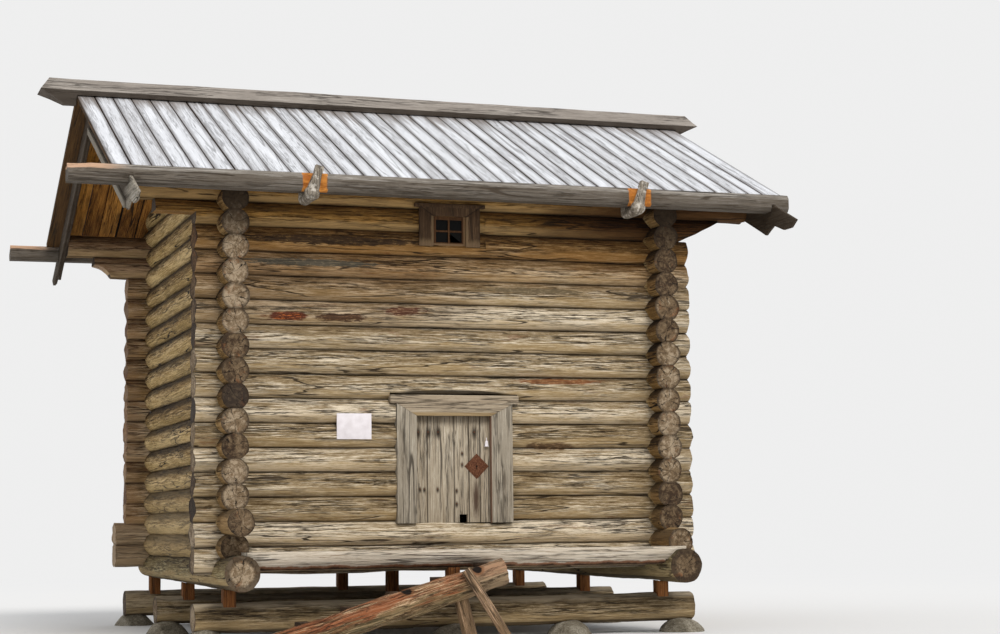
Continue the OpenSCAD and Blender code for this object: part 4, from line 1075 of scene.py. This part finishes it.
def worn_casing(way, normal, colour):
    """The casing is paler along its inner edges and at its feet, with a dark mitre at each upper corner."""
    torn = centred(cloud(pressed(way, 50.0, 0.0, 12.0), detail=4.0), 0.03)
    side = abs(way[0] - WINDOW_X)
    inner = spread(side + torn, CASING_INNER + 0.033, CASING_INNER + 0.013) * (way[2] < CASING_HEAD - 0.003)
    feet = spread(way[2] + torn * 2.0, 4.00, 3.93, 0.0, 0.5)
    colour = blend(calc("MAXIMUM", inner * 0.6, feet), colour, paint(150, 124, 92))
    slant = (way[2] - CASING_HEAD) * 1.5
    off = abs(side - CASING_INNER - slant)
    mitre = spread(off, 0.010, 0.003) * (way[2] > CASING_HEAD)
    return blend(mitre * 0.8, colour, paint(28, 19, 12))


casing_wood = board_finish("casing_wood", 2, 0, 1, 18.0, pale=(118, 92, 66), mid=(78, 58, 40),
                           dark=(44, 31, 20), checks=0.5, gain=1.3, tint=worn_casing)
framed("window_casing", casing_wood, 0.004)


def worn_sash(way, normal, colour):
    """The sash's bottom rail and right stile are bleached."""
    low = spread(way[2], 3.945, 3.930)
    right = spread(way[0], 0.195, 0.205)
    return blend(calc("MAXIMUM", low, right) * 0.7, colour, paint(156, 126, 92))


sash_wood = board_finish("sash_wood", 2, 0, 1, 19.0, pale=(112, 78, 48), mid=(82, 54, 32), dark=(48, 32, 20),
                         checks=0.3, knots=0.0, tint=worn_sash)
framed("window_sash", sash_wood, 0.002)
floor_wood = board_finish("floor_wood", 1, 0, 2, 28.0, pale=(150, 130, 102), mid=(118, 98, 72),
                          dark=(76, 60, 42), width=0.22)
coat(nodes["floor_boards"], floor_wood)


def stone_finish():
    stuff, tree, shader = blank("boulder_stone")
    where = place_of(tree)
    speck = cloud(where, scale=60.0, detail=6.0, rough=0.7)
    blot = cloud(where, scale=7.0, detail=5.0, rough=0.6)
    colour = ramp(speck * 0.5 + blot * 0.5,
                  [(0.36, tone(66, 60, 48)), (0.5, tone(124, 116, 100)), (0.66, tone(178, 172, 158))])
    rough = spread(blot, 0.3, 0.7, 0.75, 0.95)
    finish_shader(shader, colour, rough, speck + blot, 0.02)
    return stuff


stone = stone_finish()


def boulders(node):
    """Field stones: lumpy all round, flat on the ground."""
    piece = taken_from(node, node + "_lumpy")
    for lane in ((1, 0, 0), (0, 1, 0), (0, 0, 1)):
        ring_cuts(piece, lane, 0.05)
    ripple(piece, 0.20, 0.050)
    ripple(piece, 0.06, 0.014)
    flat_foot(piece)
    smooth(piece)
    fit_out(piece, stone, node)


for stones in ("stones_front", "stones_middle", "stones_rear"):
    boulders(stones)


def rust_finish():
    stuff, tree, shader = blank("rusty_iron")
    pit = cloud(place_of(tree), scale=110.0, detail=6.0, rough=0.7)
    colour = ramp(pit, [(0.3, tone(48, 30, 22)), (0.5, tone(96, 58, 38)), (0.7, tone(126, 86, 60))])
    finish_shader(shader, colour, spread(pit, 0.3, 0.7, 0.95, 0.7), pit, 0.002)
    shader.inputs["Metallic"].default_value = 0.3
    return stuff


rust = rust_finish()
framed("lock_plate", rust, 0.0006, body="door")


def nail_head(x, y, z, radius):
    """A hand-forged nail head with a low crown, seen from the front."""
    bpy.ops.object.select_all(action="DESELECT")
    bpy.ops.mesh.primitive_cylinder_add(vertices=8, radius=radius, depth=0.004, location=(x, y, z),
                                        rotation=(math.pi / 2, 0, 0))
    head = bpy.context.object
    bpy.ops.object.transform_apply(location=True, rotation=True, scale=True)
    bpy.ops.object.mode_set(mode="EDIT")
    bpy.ops.mesh.select_all(action="DESELECT")
    bpy.ops.object.mode_set(mode="OBJECT")
    for face in head.data.polygons:
        face.select = face.normal.y < -0.9
    bpy.ops.object.mode_set(mode="EDIT")
    bpy.ops.mesh.extrude_region_move(TRANSFORM_OT_translate={"value": (0, -0.002, 0)})
    bpy.ops.transform.resize(value=(0.5, 1, 0.5), center_override=(x, y, z))
    bpy.ops.object.mode_set(mode="OBJECT")
    return head


LEAF_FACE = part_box("door_leaf")[0][1]
heads = [nail_head(x, LEAF_FACE, z, 0.007) for x, z in TOP_NAILS + PATCH_NAILS + LOW_NAILS]
nails = joined(heads)
nails.name = "leaf_nails"
coat(nails, rust)
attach(nails, "door")


def seal_bell():
    """A small pale bell that hangs by a wire from a nail beside the right post."""
    top = (BELL_X, LEAF_FACE - 0.020, BELL_Z)
    wire, shoulder, crown = (0.028, 1.0), (0.006, 3.2), (0.018, 1.35)
    waist, lip = (0.022, 1.05), (0.014, 1.25)
    bpy.ops.object.select_all(action="DESELECT")
    bpy.ops.mesh.primitive_circle_add(vertices=16, radius=0.004, fill_type="NGON", location=top)
    bell = bpy.context.object
    bpy.ops.object.transform_apply(location=True, rotation=True, scale=True)
    bpy.ops.object.mode_set(mode="EDIT")
    bpy.ops.mesh.select_all(action="SELECT")
    for drop, swell in (wire, shoulder, crown, waist, lip):
        bpy.ops.mesh.extrude_region_move(TRANSFORM_OT_translate={"value": (0, 0, -drop)})
        bpy.ops.transform.resize(value=(swell, swell * 0.9, 1), center_override=(top[0], top[1], 0))
    bpy.ops.mesh.select_all(action="SELECT")
    bpy.ops.mesh.normals_make_consistent(inside=False)
    bpy.ops.object.mode_set(mode="OBJECT")
    bell.name = "seal_bell"
    smooth(bell, 50)
    coat(bell, enamel)
    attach(bell, "door")


def enamel_finish():
    stuff, tree, shader = blank("notice_enamel")
    film = cloud(place_of(tree), scale=14.0, detail=4.0)
    colour = ramp(film, [(0.3, tone(214, 207, 209)), (0.7, tone(230, 224, 227))])
    finish_shader(shader, colour, spread(film, 0.3, 0.7, 0.35, 0.5), film, 0.0005)
    return stuff


enamel = enamel_finish()
framed("notice_plate", enamel, 0.001)
seal_bell()


def glass_finish():
    stuff, tree, shader = blank("dusty_shaded_panes")
    dust = cloud(place_of(tree), scale=9.0, detail=5.0)
    # painted shade: the panes are near-black, for the dark room behind them; the cloud adds dust
    colour = ramp(dust, [(0.3, tone(8, 8, 7)), (0.75, tone(22, 20, 17))])
    colour.to(shader.inputs["Base Color"])
    spread(dust, 0.3, 0.8, 0.25, 0.5).to(shader.inputs["Roughness"])
    shader.inputs["Specular IOR Level"].default_value = 0.08
    return stuff


coat(nodes["window_glass"], glass_finish())


# Floor, light and camera
def make_stage():
    bpy.ops.object.select_all(action="DESELECT")
    bpy.ops.mesh.primitive_circle_add(vertices=64, radius=60, fill_type="NGON", location=(0, 0, 0))
    floor = bpy.context.object
    floor.name = "studio_floor"
    stuff, tree, shader = blank("studio_pale")
    shader.inputs["Base Color"].default_value = (0.72, 0.72, 0.72, 1)
    shader.inputs["Roughness"].default_value = 0.95
    shader.inputs["Specular IOR Level"].default_value = 0.0
    way = axes(tree)
    out = slant_length(way[0], way[1])
    glow = source(tree, "ShaderNodeEmission", plugs={"Color": (0.86, 0.86, 0.86, 1), "Strength": 1.0})
    fade = spread(out, 7.0, 22.0) * source(tree, "ShaderNodeLightPath", "Is Camera Ray")
    mixed = step("ShaderNodeMixShader", {0: fade, 1: Value(shader.outputs[0]), 2: glow})
    mixed.to(tree.nodes["Material Output"].inputs[0])
    floor.data.materials.append(stuff)

    world = bpy.data.worlds.new("studio_air")
    bpy.context.scene.world = world
    world.use_nodes = True
    tree = world.node_tree
    tree.nodes.clear()
    air = source(tree, "ShaderNodeBackground", plugs={"Color": (0.98, 0.99, 1.0, 1), "Strength": 0.78})
    behind = source(tree, "ShaderNodeBackground", plugs={"Color": (0.86, 0.86, 0.86, 1), "Strength": 1.0})
    seen, mirrored, through = (source(tree, "ShaderNodeLightPath", "Is " + ray + " Ray")
                               for ray in ("Camera", "Glossy", "Transmission"))
    seen = calc("MAXIMUM", seen, calc("MAXIMUM", mirrored, through))
    both = step("ShaderNodeMixShader", {0: seen, 1: air, 2: behind})
    both.to(tree.nodes.new("ShaderNodeOutputWorld").inputs[0])

    sun = bpy.data.lights.new("soft_key", "SUN")
    sun.energy = 2.0
    sun.angle = math.radians(24)
    sun.color = (1.0, 0.975, 0.94)
    lamp = bpy.data.objects.new("soft_key", sun)
    bpy.context.scene.collection.objects.link(lamp)
    toward = Vector((-0.10, 0.74, -0.80)).normalized()
    lamp.rotation_euler = toward.to_track_quat("-Z", "Y").to_euler()


def make_camera():
    """Camera at the photograph's viewing angle."""
    yaw, pitch, roll = CAMERA_TURN
    look = Vector((math.sin(yaw) * math.cos(pitch), math.cos(yaw) * math.cos(pitch), math.sin(pitch)))
    right = look.cross(Vector((0, 0, 1))).normalized()
    up = right.cross(look)
    side = right * math.cos(roll) + up * math.sin(roll)
    top = up * math.cos(roll) - right * math.sin(roll)
    view = bpy.data.cameras.new("photo_view")
    view.lens = LENS
    view.sensor_width = SENSOR
    view.clip_end = 200
    eye = bpy.data.objects.new("photo_view", view)
    bpy.context.scene.collection.objects.link(eye)
    turn = Matrix((side, top, -look)).transposed().to_4x4()
    eye.matrix_world = Matrix.Translation(CAMERA_PLACE) @ turn
    bpy.context.scene.camera = eye


make_stage()
make_camera()
bpy.context.scene.view_settings.view_transform = "Standard"
